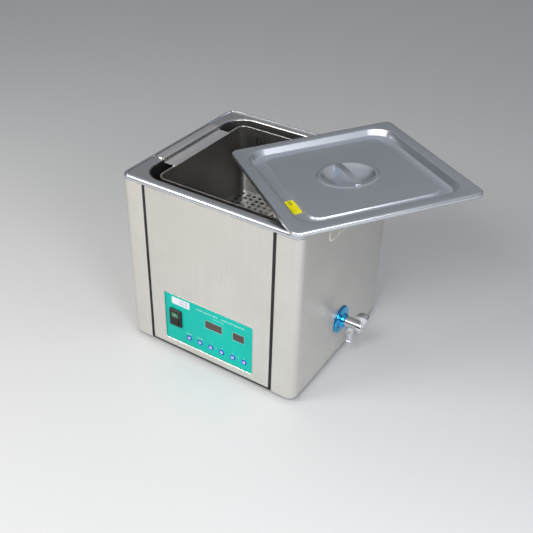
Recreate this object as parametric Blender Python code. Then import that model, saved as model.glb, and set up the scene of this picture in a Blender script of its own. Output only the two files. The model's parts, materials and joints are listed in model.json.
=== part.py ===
"""Bench ultrasonic cleaner: a steel tank in a sheet-metal cabinet, a hanging basket, a loose lid.

Metres, +Z up. The origin is the centre of the base plate's underside, and the
control panel faces -Y. Every size that can be chosen by itself is named below.
"""

import math

import bmesh
import bpy
from mathutils import Euler, Matrix, Vector
from mathutils.bvhtree import BVHTree

# --- Fits shared by every piece -------------------------------------------------
GAP = 0.0003  # air left between pieces that touch
SHEET = 0.0012  # thickness of the pressed and folded sheet
ARC_STEPS = 5  # facets in a quarter turn of a rounded rectangle
ROUND_STEPS = 24  # facets round a turned piece

# --- Cabinet --------------------------------------------------------------------
BODY_WIDTH = 0.370
BODY_DEPTH = 0.344
BODY_HEIGHT = 0.352
BODY_CORNER = 0.016
RIM_BEND = 0.0065  # radius of the top frame's outer bend
RIM_LIP = 0.003  # straight lip below that bend
RIM_LAND = 0.0006  # flat crest of the rim
RIM_RUN = 0.0008  # how far the step down to the tank flange slopes
RIM_STEP = 0.002  # how far the tank flange lies below the crest
LEDGE_REACH = 0.008  # ledge of the top frame that carries the tank flange
FOLD = 0.010  # return folds along the panel edges
GROOVE_INSET = 0.050  # joint strips, in from the sides
GROOVE_WIDTH = 0.006
GROOVE_DEPTH = 0.0035
BACK_WRAP = 0.030  # how far the side shells reach round the back
BASE_SHEET = 0.0015
PANEL_LIFT = 0.004  # the front panel ends this far above the side shells
FOOT_RADIUS = 0.015
FOOT_HEIGHT = 0.010
FOOT_INSET = 0.035

# --- Tank -----------------------------------------------------------------------
TANK_INSET_X = 0.027  # tank wall, in from the cabinet's side
TANK_INSET_Y = 0.021
UNDER_TANK = 0.152  # room for the boards below the tank
TANK_CORNER = 0.045
TANK_LIP = 0.004  # rounding of the opening's edge
TANK_FLOOR_BEND = 0.025

# --- Side grips -----------------------------------------------------------------
GRIP_WIDTH = 0.156
GRIP_HEIGHT = 0.038
GRIP_DEEP = 0.018
GRIP_CORNER = 0.013
GRIP_DROP = 0.042  # grip's middle, below the rim
GRIP_LIP = 0.0022

# --- Controls -------------------------------------------------------------------
PANEL_WIDTH = 0.200
PANEL_HEIGHT = 0.111
PANEL_X = -0.002
PANEL_Z = 0.0745
PANEL_RECESS = 0.0025
PANEL_PLATE = 0.0015
TRAY_WALL = 0.0012
TRAY_LEDGE = 0.003
KEY_RADIUS = 0.0055
KEY_PITCH = 0.025
KEY_FIRST_X = -0.0472
KEY_Z = 0.038
KEY_PROUD = 0.0007
DISPLAYS = (("display_left", 0.0098, 0.0375), ("display_right", 0.0650, 0.0245))
DISPLAY_HEIGHT = 0.017
DISPLAY_Z = 0.0897
SWITCH_X = -0.077
SWITCH_Z = 0.075
SWITCH_WIDTH = 0.028
SWITCH_HEIGHT = 0.039
SWITCH_PROUD = 0.0042
ROCKER_WIDTH = 0.0185
ROCKER_RADIUS = 0.0142
ROCKER_TILT = 9.0  # degrees either side of the middle
BOARD_SETBACK = 0.020  # control board, behind the front face

# --- Drain valve ----------------------------------------------------------------
VALVE_Y = 0.002
VALVE_Z = 0.075
VALVE_RADIUS = 0.010
VALVE_REACH = 0.041  # from the side shell to the lever's hub
ESCUTCHEON_RADIUS = 0.028
SPOUT_OUT = 0.0135  # spout axis, out from the side shell
SPOUT_RADIUS = 0.0070
SPOUT_BOTTOM = 0.031
DRAIN_INSET = 0.038  # drain hole, in from the tank's side wall
PIPE_RADIUS = 0.0085
PIPE_WALL = 0.0015

# --- Back of the cabinet --------------------------------------------------------
FAN_SIZE = 0.080
FAN_THICK = 0.025
FAN_INSET = 0.100
FAN_Z = 0.085
FAN_BLADES = 7
INLET_INSET = 0.080
INLET_Z = 0.070
INLET_WIDTH = 0.0265
INLET_HEIGHT = 0.0465
VENT_X = 0.060
VENT_DROP = 0.107  # lowest vent slot, below the rim
VENT_PITCH = 0.009
VENT_WIDTH = 0.060
VENT_HEIGHT = 0.0035
VENT_ROWS = 6
PLATE_X = -0.085
PLATE_Z = 0.160
PLATE_WIDTH = 0.070
PLATE_HEIGHT = 0.045

# --- Inside the cabinet ---------------------------------------------------------
BASE_VENT_X = 0.075
BASE_VENT_WIDTH = 0.050
BASE_VENT_HEIGHT = 0.004
BASE_VENT_PITCH = 0.014
BASE_VENT_ROWS = 5
BOARD_SHEET = 0.0016
GENERATOR_WIDTH = 0.170
GENERATOR_DEPTH = 0.120
GENERATOR_X = -0.010
GENERATOR_Y = -0.030
GENERATOR_LIFT = 0.014
CORE_X = -0.135
CORE_Y = 0.095
CORE_WIDTH = 0.060
CORE_DEPTH = 0.050
CORE_TOP = 0.052
COIL_WIDTH = 0.036
COIL_DEPTH = 0.070
COIL_LOW = 0.012
COIL_HIGH = 0.042
TRANSDUCER_SPREAD = 0.070
HEATER_LOW = 0.195
HEATER_HIGH = 0.245
HEATER_LENGTH = 0.160
HEATER_SHEET = 0.003
SENSOR_X = -0.040
SENSOR_Z = 0.215

# --- Basket ---------------------------------------------------------------------
BASKET_INSET_X = 0.023  # basket wall, in from the tank's wall
BASKET_INSET_Y = 0.016
BASKET_CORNER = 0.018
UNDER_BASKET = 0.0428  # from the basket's underside to the tank floor
BASKET_DROP = 0.0092  # basket's top edge, below the rim's crest
BASKET_SHEET = 0.0010
SLOT_WIDTH = 0.003
SLOT_HEIGHT = 0.023
SLOT_PITCH = 0.0085
SLOTS_IN_GROUP = 5
GROUP_PITCH = 0.0795
SLOT_DROP = 0.027  # slots' upper ends, below the rim's crest
HANDLE_LENGTH = 0.172
HANDLE_REST = 0.0180  # how far the hanging strip lies over the tank flange
HANDLE_INNER = 0.0060  # how far its lower flange reaches past the basket wall

# --- Lid ------------------------------------------------------------------------
LID_SHORT_X = 0.019  # how much smaller the lid is than the cabinet
LID_SHORT_Y = 0.016
LID_CORNER = 0.014
LID_SHEET = 0.0008
LID_SKIRT = 0.008
LID_BEND = 0.003
LID_FLANGE = 0.021
LID_WELL = 0.012  # depth of the channel inside the flange
LID_WELL_CORNER = 0.040
LID_CHANNEL = 0.020
LID_PLATEAU_RISE = 0.003
BOWL_RADIUS = 0.0475
BOWL_LAND = 0.0065  # raised ring outside the bowl
BOWL_DEEP = 0.014
STRAP_WIDTH = 0.012
STRAP_SHEET = 0.0015
LID_YAW = 50.3  # degrees, lid turned on the cleaner
LID_TILT = 6.5  # degrees, raised towards +X
LID_X = 0.1586
LID_Y = 0.0261

# --- Values that follow from the ones above --------------------------------------
HALF_WIDTH = BODY_WIDTH / 2
HALF_DEPTH = BODY_DEPTH / 2
GROOVE_X = HALF_WIDTH - GROOVE_INSET
FOOT_X = HALF_WIDTH - FOOT_INSET
FOOT_Y = HALF_DEPTH - FOOT_INSET
TANK_WIDTH = BODY_WIDTH - 2 * TANK_INSET_X
TANK_DEPTH = BODY_DEPTH - 2 * TANK_INSET_Y
BASKET_WIDTH = TANK_WIDTH - 2 * BASKET_INSET_X
BASKET_DEPTH = TANK_DEPTH - 2 * BASKET_INSET_Y
DRAIN_X = TANK_WIDTH / 2 - DRAIN_INSET
GRIP_Z = BODY_HEIGHT - GRIP_DROP
FAN_BORE = FAN_SIZE / 2 - 0.002
FAN_X = HALF_WIDTH - FAN_INSET
INLET_X = INLET_INSET - HALF_WIDTH
LID_WIDTH = BODY_DEPTH - LID_SHORT_X
LID_LENGTH = BODY_WIDTH - LID_SHORT_Y
BOWL_RING = BOWL_RADIUS + BOWL_LAND
BAND = RIM_BEND + RIM_LIP
SHELL_BOTTOM = BASE_SHEET + GAP
SHELL_TOP = BODY_HEIGHT - BAND - GAP
FLANGE_INSET = RIM_BEND + RIM_LAND + RIM_RUN + GAP
FLANGE_TOP = BODY_HEIGHT - RIM_STEP
TANK_UNDERSIDE = UNDER_TANK - SHEET - GAP
BASKET_TOP = BODY_HEIGHT - BASKET_DROP
BASKET_BOTTOM = UNDER_TANK + UNDER_BASKET
FACE_FRONT = 0.0
FACE_RIGHT = math.pi / 2
FACE_BACK = math.pi
FACE_LEFT = -math.pi / 2


# --- Helpers --------------------------------------------------------------------
def clear_scene():
    for obj in list(bpy.data.objects):
        bpy.data.objects.remove(obj, do_unlink=True)


def finish(name, colour, roughness, metallic):
    material = bpy.data.materials.new(name)
    material.use_nodes = True
    shader = material.node_tree.nodes["Principled BSDF"]
    shader.inputs["Base Color"].default_value = (*colour, 1.0)
    shader.inputs["Roughness"].default_value = roughness
    shader.inputs["Metallic"].default_value = metallic
    material.diffuse_color = (*colour, 1.0)
    return material


def arc(centre_x, centre_y, radius, start, end, steps=ARC_STEPS):
    """Points of an arc between two angles in degrees."""
    points = []
    for step in range(steps + 1):
        angle = math.radians(start + (end - start) * step / steps)
        points.append((centre_x + radius * math.cos(angle), centre_y + radius * math.sin(angle)))
    return points


def rounded(width, depth, radius, height, steps=ARC_STEPS):
    """A loop of points round a rounded rectangle, anticlockwise seen from above."""
    radius = min(max(radius, 0.0004), 0.499 * min(width, depth))
    x, y = width / 2 - radius, depth / 2 - radius
    outline = []
    for centre_x, centre_y, start in ((x, y, 0), (-x, y, 90), (-x, -y, 180), (x, -y, 270)):
        outline += arc(centre_x, centre_y, radius, start, start + 90, steps)
    return [Vector((px, py, height)) for px, py in outline]


def circle(radius, height, steps=ROUND_STEPS):
    angles = [2 * math.pi * step / steps for step in range(steps)]
    return [Vector((radius * math.cos(a), radius * math.sin(a), height)) for a in angles]


def round_like(radius, height, steps=ARC_STEPS):
    """A circle with as many points as a rounded rectangle has, turned to match it."""
    points = []
    for start in (0, 90, 180, 270):
        for step in range(steps + 1):
            angle = math.radians(start + 90 * (step + 0.5) / (steps + 1))
            points.append(Vector((radius * math.cos(angle), radius * math.sin(angle), height)))
    return points


def skin(loops, closed=True, start_cap=False, end_cap=False, ring=False):
    """A bmesh that joins each loop of points to the next."""
    shape = bmesh.new()
    rows = [[shape.verts.new(point) for point in loop] for loop in loops]
    pairs = list(zip(rows, rows[1:]))
    if ring:
        pairs.append((rows[-1], rows[0]))
    for low, high in pairs:
        count = len(low)
        for i in range(count if closed else count - 1):
            j = (i + 1) % count
            shape.faces.new((low[i], low[j], high[j], high[i]))
    if start_cap:
        shape.faces.new(list(reversed(rows[0])))
    if end_cap:
        shape.faces.new(rows[-1])
    return shape


def add(name, shape, material, location=(0, 0, 0), rotation=(0, 0, 0), parent=None):
    mesh = bpy.data.meshes.new(name)
    shape.to_mesh(mesh)
    shape.free()
    mesh.shade_smooth()
    mesh.set_sharp_from_angle(angle=math.radians(35))
    mesh.materials.append(material)
    obj = bpy.data.objects.new(name, mesh)
    obj.location = location
    obj.rotation_euler = rotation
    obj.parent = parent
    bpy.context.scene.collection.objects.link(obj)
    return obj


def facing(side):
    """Rotation that turns local +Z out of a vertical face, with local +Y up."""
    return (math.pi / 2, 0, side)


def solid(loops):
    return skin(loops, start_cap=True, end_cap=True)


def ring(loops):
    return skin(loops, ring=True)


def turned(profile, steps=ROUND_STEPS):
    """A solid of revolution about local Z, from its lower end to its upper end."""
    return solid([circle(radius, height, steps) for radius, height in profile])


def turned_ring(profile, steps=ROUND_STEPS):
    return ring([circle(radius, height, steps) for radius, height in profile])


def prism(width, depth, radius, low, high, steps=3):
    return solid([rounded(width, depth, radius, height, steps) for height in (low, high)])


def boxes(corners):
    """One bmesh holding a box for each (lowest corner, highest corner)."""
    shape = bmesh.new()
    for low, high in corners:
        low, high = Vector(low), Vector(high)
        middle = Matrix.Translation((low + high) / 2)
        size = Matrix.Diagonal((*(high - low), 1.0))
        bmesh.ops.create_cube(shape, size=1.0, matrix=middle @ size)
    return shape


def thicken(obj, thickness):
    """Gives an open skin its wall, behind the face that it shows."""
    wall = obj.modifiers.new("Wall", "SOLIDIFY")
    wall.thickness = thickness
    wall.offset = -1.0
    wall.use_even_offset = True
    return obj


def soften(obj, width, segments=1, angle=40):
    edge = obj.modifiers.new("Edge", "BEVEL")
    edge.width = width
    edge.segments = segments
    edge.limit_method = "ANGLE"
    edge.angle_limit = math.radians(angle)
    return obj


def boolean(obj, other, operation):
    other.hide_render = True
    other.display_type = "WIRE"
    step = obj.modifiers.new(other.name, "BOOLEAN")
    step.operation = operation
    step.solver = "EXACT"
    step.object = other
    return obj


def cut(obj, shape, location=(0, 0, 0), rotation=(0, 0, 0), parent=None):
    tool = add(obj.name + "_cutter", shape, obj.data.materials[0], location, rotation, parent)
    return boolean(obj, tool, "DIFFERENCE")


def fuse(obj, shape, location=(0, 0, 0), rotation=(0, 0, 0), parent=None):
    tool = add(obj.name + "_joined", shape, obj.data.materials[0], location, rotation, parent)
    return boolean(obj, tool, "UNION")


def folded(path, low, high):
    """A sheet folded along an (x, y) path and standing from low to high."""
    return skin([[Vector((x, y, z)) for x, y in path] for z in (low, high)], closed=False)


def tube(points, outer, inner, steps=16):
    """A hollow tube along points that lie in the XZ plane of its own frame."""
    across = Vector((0, 1, 0))
    outside, inside = [], []
    for index, point in enumerate(points):
        ahead = points[min(index + 1, len(points) - 1)] - points[max(index - 1, 0)]
        side = across.cross(ahead.normalized())
        for radius, loops in ((outer, outside), (inner, inside)):
            loop = []
            for step in range(steps):
                angle = 2 * math.pi * step / steps
                loop.append(point + radius * (math.cos(angle) * side + math.sin(angle) * across))
            loops.append(loop)
    shape = ring(outside + list(reversed(inside)))
    bmesh.ops.recalc_face_normals(shape, faces=shape.faces)
    return shape


def body_loop(inset, height):
    """The cabinet's outline moved inwards by an inset."""
    width, depth = BODY_WIDTH - 2 * inset, BODY_DEPTH - 2 * inset
    return rounded(width, depth, max(BODY_CORNER - inset, 0.004), height)


def tank_loop(grow, height):
    """The tank opening's outline moved outwards by a distance."""
    return rounded(TANK_WIDTH + 2 * grow, TANK_DEPTH + 2 * grow, TANK_CORNER + grow, height)


# --- Cabinet --------------------------------------------------------------------
def top_frame(steel):
    """The bent rim: lip, outer bend, crest, and the ledge under the tank flange."""
    loops = [body_loop(0, BODY_HEIGHT - BAND)]
    for x, z in arc(RIM_BEND, BODY_HEIGHT - RIM_BEND, RIM_BEND, 180, 90):
        loops.append(body_loop(x, z))
    crest = RIM_BEND + RIM_LAND
    ledge = FLANGE_TOP - SHEET - GAP
    loops.append(body_loop(crest, BODY_HEIGHT))
    loops.append(body_loop(crest + RIM_RUN, ledge))
    loops.append(body_loop(crest + RIM_RUN + LEDGE_REACH, ledge))
    return thicken(add("top_frame", skin(loops), steel), SHEET)


def tank(steel):
    """Flange, rounded opening, straight walls and rounded floor, with a drain hole."""
    loops = [body_loop(FLANGE_INSET, FLANGE_TOP)]
    for x, z in arc(TANK_LIP, FLANGE_TOP - TANK_LIP, TANK_LIP, 90, 180, 3):
        loops.append(tank_loop(x, z))
    for x, z in arc(-TANK_FLOOR_BEND, UNDER_TANK + TANK_FLOOR_BEND, TANK_FLOOR_BEND, 0, -90, 4):
        loops.append(tank_loop(x, z))
    piece = thicken(add("tank", skin(loops, end_cap=True), steel), SHEET)
    drain = turned([(PIPE_RADIUS - PIPE_WALL, -0.010), (PIPE_RADIUS - PIPE_WALL, 0.010)], 16)
    return cut(piece, drain, (DRAIN_X, VALVE_Y, UNDER_TANK))


def side_path(side):
    """The side shell seen from above: front fold, front corner, side, rear corner, rear edge."""
    edge = GROOVE_X + GROOVE_WIDTH / 2
    x, y = HALF_WIDTH - BODY_CORNER, HALF_DEPTH - BODY_CORNER
    path = [(edge, FOLD - HALF_DEPTH), (edge, -HALF_DEPTH)]
    path += arc(x, -y, BODY_CORNER, -90, 0)
    path += arc(x, y, BODY_CORNER, 0, 90)
    path.append((HALF_WIDTH - BACK_WRAP, HALF_DEPTH))
    if side < 0:
        path = [(-px, py) for px, py in reversed(path)]
    return path


def side_shells(steel):
    for name, side, face in (("side_shell_left", -1, FACE_LEFT), ("side_shell_right", 1, FACE_RIGHT)):
        shell = thicken(add(name, folded(side_path(side), SHELL_BOTTOM, SHELL_TOP), steel), SHEET)
        width, height = GRIP_WIDTH + 2 * GAP, GRIP_HEIGHT + 2 * GAP
        opening = prism(width, height, GRIP_CORNER + GAP, -0.01, 0.01, 4)
        cut(shell, opening, (side * HALF_WIDTH, 0, GRIP_Z), facing(face))
        if side > 0:
            hole = turned([(VALVE_RADIUS + GAP, -0.01), (VALVE_RADIUS + GAP, 0.01)])
            cut(shell, hole, (HALF_WIDTH, VALVE_Y, VALVE_Z), facing(face))


def front_panel(steel):
    edge = GROOVE_X - GROOVE_WIDTH / 2
    path = [(-edge, FOLD - HALF_DEPTH), (-edge, -HALF_DEPTH)]
    path += [(edge, -HALF_DEPTH), (edge, FOLD - HALF_DEPTH)]
    piece = thicken(add("front_panel", folded(path, SHELL_BOTTOM + PANEL_LIFT, SHELL_TOP), steel), SHEET)
    opening = prism(PANEL_WIDTH + 2 * GAP, PANEL_HEIGHT + 2 * GAP, 0.002, -0.01, 0.01)
    cut(piece, opening, (PANEL_X, -HALF_DEPTH, PANEL_Z), facing(FACE_FRONT))


def groove_strips(rubber):
    half = GROOVE_WIDTH / 2 - GAP
    for name, x in (("groove_strip_left", -GROOVE_X), ("groove_strip_right", GROOVE_X)):
        low = (x - half, GROOVE_DEPTH - HALF_DEPTH, SHELL_BOTTOM + PANEL_LIFT)
        high = (x + half, FOLD - HALF_DEPTH, SHELL_TOP)
        add(name, boxes([(low, high)]), rubber)


def back_panel(steel):
    """Folded rear sheet with vents, a fan opening and the inlet's cut-out."""
    edge = HALF_WIDTH - BACK_WRAP - GAP
    path = [(edge, HALF_DEPTH - FOLD), (edge, HALF_DEPTH)]
    path += [(-edge, HALF_DEPTH), (-edge, HALF_DEPTH - FOLD)]
    piece = thicken(add("back_panel", folded(path, SHELL_BOTTOM, SHELL_TOP), steel), SHEET)
    bore = turned([(FAN_BORE, -0.01), (FAN_BORE, 0.01)])
    cut(piece, bore, (FAN_X, HALF_DEPTH, FAN_Z), facing(FACE_BACK))
    window = prism(INLET_WIDTH + 2 * GAP, INLET_HEIGHT + 2 * GAP, 0.002, -0.01, 0.01)
    cut(piece, window, (INLET_X, HALF_DEPTH, INLET_Z), facing(FACE_BACK))
    slots = []
    for side in (-1, 1):
        for row in range(VENT_ROWS):
            x, z = side * VENT_X, BODY_HEIGHT - VENT_DROP + VENT_PITCH * row
            low = (x - VENT_WIDTH / 2, HALF_DEPTH - 0.005, z)
            slots.append((low, (x + VENT_WIDTH / 2, HALF_DEPTH + 0.005, z + VENT_HEIGHT)))
    cut(piece, boxes(slots))


def base_plate(steel):
    outline = [body_loop(GAP, 0), body_loop(GAP, BASE_SHEET)]
    piece = add("base_plate", solid(outline), steel)
    slots = []
    for side in (-1, 1):
        for row in range(BASE_VENT_ROWS):
            x, y = side * BASE_VENT_X, BASE_VENT_PITCH * (row - (BASE_VENT_ROWS - 1) / 2)
            low = (x - BASE_VENT_WIDTH / 2, y - BASE_VENT_HEIGHT / 2, -0.01)
            slots.append((low, (x + BASE_VENT_WIDTH / 2, y + BASE_VENT_HEIGHT / 2, 0.01)))
    cut(piece, boxes(slots))


def feet(rubber):
    profile = [(0.9 * FOOT_RADIUS, -FOOT_HEIGHT), (FOOT_RADIUS, 0.002 - FOOT_HEIGHT)]
    profile.append((FOOT_RADIUS, -GAP))
    for end, y in (("front", -FOOT_Y), ("rear", FOOT_Y)):
        for side, x in (("left", -FOOT_X), ("right", FOOT_X)):
            add(f"foot_{end}_{side}", turned(profile, 20), rubber, (x, y, 0))


def grip_cups(plastic):
    """A pressed finger pocket on each side, with a thin lip over the shell's edge."""
    inner = (GRIP_WIDTH - 2 * SHEET, GRIP_HEIGHT - 2 * SHEET, GRIP_CORNER - SHEET)
    rows = [(GRIP_WIDTH - 0.008, GRIP_HEIGHT - 0.008, GRIP_CORNER - 0.004, -GRIP_DEEP)]
    rows.append((GRIP_WIDTH, GRIP_HEIGHT, GRIP_CORNER, 0.004 - GRIP_DEEP))
    rows.append((GRIP_WIDTH, GRIP_HEIGHT, GRIP_CORNER, GAP))
    lip = (GRIP_WIDTH + 2 * GRIP_LIP, GRIP_HEIGHT + 2 * GRIP_LIP, GRIP_CORNER + GRIP_LIP)
    rows.append((*lip, GAP))
    rows.append((*lip, GAP + 0.0007))
    rows.append((*inner, GAP + 0.0012))
    rows.append((*inner, 0.004 - GRIP_DEEP))
    rows.append((inner[0] - 0.006, inner[1] - 0.006, inner[2] - 0.003, SHEET - GRIP_DEEP))
    for name, side, face in (("grip_cup_left", -1, FACE_LEFT), ("grip_cup_right", 1, FACE_RIGHT)):
        shape = solid([rounded(*row, 4) for row in rows])
        add(name, shape, plastic, (side * HALF_WIDTH, 0, GRIP_Z), facing(face))


# --- Controls -------------------------------------------------------------------
def on_front(x, z, out=0.0):
    return (x, -HALF_DEPTH - out, z)


def panel_tray(steel):
    """The frame that lines the front opening and carries the panel plate on a ledge."""
    wall, ledge = 2 * TRAY_WALL, 2 * (TRAY_WALL + TRAY_LEDGE)
    seat = -PANEL_RECESS - PANEL_PLATE - GAP
    rows = [(0, 0, 0), (wall, wall, 0), (wall, wall, seat), (ledge, ledge, seat)]
    rows += [(ledge, ledge, seat - TRAY_WALL), (0, 0, seat - TRAY_WALL)]
    loops = [rounded(PANEL_WIDTH - w, PANEL_HEIGHT - h, 0.0017, z, 2) for w, h, z in rows]
    shape = ring(loops)
    bmesh.ops.recalc_face_normals(shape, faces=shape.faces)
    add("panel_tray", shape, steel, on_front(PANEL_X, PANEL_Z), facing(FACE_FRONT))


def key_places():
    return [(f"key_{i + 1}", KEY_FIRST_X + KEY_PITCH * i) for i in range(6)]


def control_panel(material):
    trim = 2 * (TRAY_WALL + GAP)
    low, high = -PANEL_RECESS - PANEL_PLATE, -PANEL_RECESS
    shape = prism(PANEL_WIDTH - trim, PANEL_HEIGHT - trim, 0.001, low, high)
    piece = add("control_panel", shape, material, on_front(PANEL_X, PANEL_Z), facing(FACE_FRONT))
    for _, x in key_places():
        hole = turned([(KEY_RADIUS + GAP, -0.01), (KEY_RADIUS + GAP, 0.01)], 20)
        cut(piece, hole, on_front(x, KEY_Z), facing(FACE_FRONT))
    for _, x, width in DISPLAYS:
        window = prism(width + 2 * GAP, DISPLAY_HEIGHT + 2 * GAP, 0.0008, -0.01, 0.01)
        cut(piece, window, on_front(x, DISPLAY_Z), facing(FACE_FRONT))
    neck = prism(SWITCH_WIDTH - 0.004 + 2 * GAP, SWITCH_HEIGHT - 0.004 + 2 * GAP, 0.0015, -0.01, 0.01)
    cut(piece, neck, on_front(SWITCH_X, SWITCH_Z), facing(FACE_FRONT))


def displays(material):
    for name, x, width in DISPLAYS:
        shape = prism(width, DISPLAY_HEIGHT, 0.0006, -PANEL_RECESS - 0.006, -PANEL_RECESS - 0.0003)
        add(name, shape, material, on_front(x, DISPLAY_Z), facing(FACE_FRONT))


def keys(material):
    top = KEY_PROUD - PANEL_RECESS
    profile = [(KEY_RADIUS, -PANEL_RECESS - 0.003), (KEY_RADIUS, top - 0.0003), (KEY_RADIUS - 0.0004, top)]
    for name, x in key_places():
        add(name, turned(profile, 20), material, on_front(x, KEY_Z), facing(FACE_FRONT))


def rocker_switch(plastic, cap):
    """A bezel frame that snaps into the panel, and the rocker that tilts in it."""
    neck = (SWITCH_WIDTH - 0.004, SWITCH_HEIGHT - 0.004)
    hole = (ROCKER_WIDTH + 2 * GAP, 2 * (ROCKER_RADIUS + GAP))
    rows = [(SWITCH_WIDTH, SWITCH_HEIGHT, 0.0025, GAP), (SWITCH_WIDTH, SWITCH_HEIGHT, 0.0025, 0.0026)]
    rows.append((SWITCH_WIDTH - 0.003, SWITCH_HEIGHT - 0.003, 0.0015, SWITCH_PROUD))
    rows += [(*hole, 0.0008, SWITCH_PROUD), (*hole, 0.0008, -0.012)]
    rows += [(*neck, 0.0012, -0.012), (*neck, 0.0012, GAP)]
    shape = ring([rounded(w, h, r, z - PANEL_RECESS, 3) for w, h, r, z in rows])
    bmesh.ops.recalc_face_normals(shape, faces=shape.faces)
    place = on_front(SWITCH_X, SWITCH_Z)
    add("switch_bezel", shape, plastic, place, facing(FACE_FRONT))
    side = arc(0, 0, ROCKER_RADIUS, -20, 26, 5)
    outline = side + [(0.001, 0.0036), (-0.001, 0.0036)] + [(-y, z) for y, z in reversed(side)]
    half = ROCKER_WIDTH / 2
    loops = [[Vector((x, y, z)) for y, z in outline] for x in (-half, half)]
    shape = solid(loops)
    bmesh.ops.recalc_face_normals(shape, faces=shape.faces)
    pivot = on_front(SWITCH_X, SWITCH_Z, -PANEL_RECESS)
    turn = Euler((math.pi / 2 - math.radians(ROCKER_TILT), 0, 0))
    add("switch_rocker", shape, cap, pivot, turn)


def board(name, width, depth, post, material, location, rotation):
    """A circuit board on four posts that reach towards local -Z."""
    piece = add(name, prism(width, depth, 0.002, 0, BOARD_SHEET), material, location, rotation)
    for x in (-width / 2 + 0.006, width / 2 - 0.006):
        for y in (-depth / 2 + 0.006, depth / 2 - 0.006):
            fuse(piece, boxes([((x - 0.003, y - 0.003, -post), (x + 0.003, y + 0.003, BOARD_SHEET / 2))]),
                 location, rotation)
    return piece


def electronics(green, core):
    """The boards behind and below the tank, and the mains transformer."""
    behind = (PANEL_X, BOARD_SETBACK - HALF_DEPTH, PANEL_Z)
    post = BOARD_SETBACK - PANEL_RECESS - PANEL_PLATE - TRAY_WALL - 0.0030
    board("control_board", PANEL_WIDTH - 0.014, PANEL_HEIGHT - 0.014, post, green, behind,
          (math.pi / 2, math.pi, 0))
    place = (GENERATOR_X, GENERATOR_Y, GENERATOR_LIFT)
    board("generator_board", GENERATOR_WIDTH, GENERATOR_DEPTH, GENERATOR_LIFT - BASE_SHEET - GAP, green,
          place, (0, 0, 0))
    low = (CORE_X - CORE_WIDTH / 2, CORE_Y - CORE_DEPTH / 2, BASE_SHEET + GAP)
    high = (CORE_X + CORE_WIDTH / 2, CORE_Y + CORE_DEPTH / 2, CORE_TOP)
    piece = soften(add("transformer", boxes([(low, high)]), core), 0.002)
    low = (CORE_X - COIL_WIDTH / 2, CORE_Y - COIL_DEPTH / 2, COIL_LOW)
    coil = boxes([(low, (CORE_X + COIL_WIDTH / 2, CORE_Y + COIL_DEPTH / 2, COIL_HIGH))])
    return fuse(piece, coil)


def transducers(metal):
    """Bolt-clamped stacks: head mass on the tank floor, ceramic rings, tail mass."""
    profile = [(0.019, -0.056), (0.019, -0.034), (0.016, -0.033), (0.016, -0.022), (0.020, -0.021), (0.029, 0)]
    for name, x, y in (
        ("transducer_front_left", -1, -1),
        ("transducer_front_right", 1, -1),
        ("transducer_rear_left", -1, 1),
        ("transducer_rear_right", 1, 1),
    ):
        add(name, turned(profile, 20), metal, (x * TRANSDUCER_SPREAD, y * TRANSDUCER_SPREAD, TANK_UNDERSIDE))


def heaters(silicone, metal):
    inner = TANK_WIDTH / 2 + SHEET + GAP
    for name, side in (("heating_pad_left", -1), ("heating_pad_right", 1)):
        near, far = sorted((side * inner, side * (inner + HEATER_SHEET)))
        low = (near, -HEATER_LENGTH / 2, HEATER_LOW)
        add(name, boxes([(low, (far, HEATER_LENGTH / 2, HEATER_HIGH))]), silicone)
    wall = TANK_DEPTH / 2 + SHEET + GAP
    sensor = turned([(0.006, 0), (0.006, 0.004), (0.004, 0.005), (0.004, 0.012)], 16)
    add("temperature_sensor", sensor, metal, (SENSOR_X, wall, SENSOR_Z), facing(FACE_BACK))


# --- Drain valve ----------------------------------------------------------------
def drain_pipe(metal):
    """From the tank floor down and round to the valve."""
    bend = 0.020
    end = HALF_WIDTH - SHEET - 0.006
    points = [Vector((DRAIN_X, VALVE_Y, TANK_UNDERSIDE))]
    for x, z in arc(DRAIN_X + bend, VALVE_Z + bend, bend, 180, 270, 6):
        points.append(Vector((x, VALVE_Y, z)))
    points.append(Vector((end, VALVE_Y, VALVE_Z)))
    add("drain_pipe", tube(points, PIPE_RADIUS, PIPE_RADIUS - PIPE_WALL), metal)


def valve(blue, chrome):
    place, turn = (HALF_WIDTH, VALVE_Y, VALVE_Z), facing(FACE_RIGHT)
    bore = VALVE_RADIUS + GAP
    rim = ESCUTCHEON_RADIUS
    shape = turned_ring([(bore, GAP), (rim - 0.001, GAP), (rim, 0.0015), (rim - 0.0012, 0.0035),
                         (0.015, 0.0055), (0.0125, 0.0110), (bore, 0.0115)], 32)
    add("valve_escutcheon", shape, blue, place, turn)
    inside = -SHEET - 0.0055
    profile = [(VALVE_RADIUS - 0.001, inside), (VALVE_RADIUS, inside + 0.001), (VALVE_RADIUS, 0.036)]
    profile += [(VALVE_RADIUS + 0.0015, 0.037), (VALVE_RADIUS + 0.0015, VALVE_REACH - 0.001 - GAP)]
    profile.append((VALVE_RADIUS, VALVE_REACH - GAP))
    body = add("valve_body", turned(profile), chrome, place, turn)
    boss = turned([(0.0085, -VALVE_RADIUS - 0.004), (0.0085, -0.002)])
    spout_x = HALF_WIDTH + SPOUT_OUT + 0.0075
    fuse(body, boss, (spout_x, VALVE_Y, VALVE_Z))
    top = VALVE_Z - VALVE_RADIUS - 0.004 - GAP
    inner = SPOUT_RADIUS - 0.0013
    shape = turned([(SPOUT_RADIUS, SPOUT_BOTTOM), (SPOUT_RADIUS, top - 0.008), (0.0090, top - 0.0075),
                    (0.0090, top)])
    spout = add("valve_spout", shape, chrome, (spout_x, VALVE_Y, 0))
    cut(spout, turned([(inner, SPOUT_BOTTOM - 0.01), (inner, top - 0.004)], 16), (spout_x, VALVE_Y, 0))
    lever(chrome, place)


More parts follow.
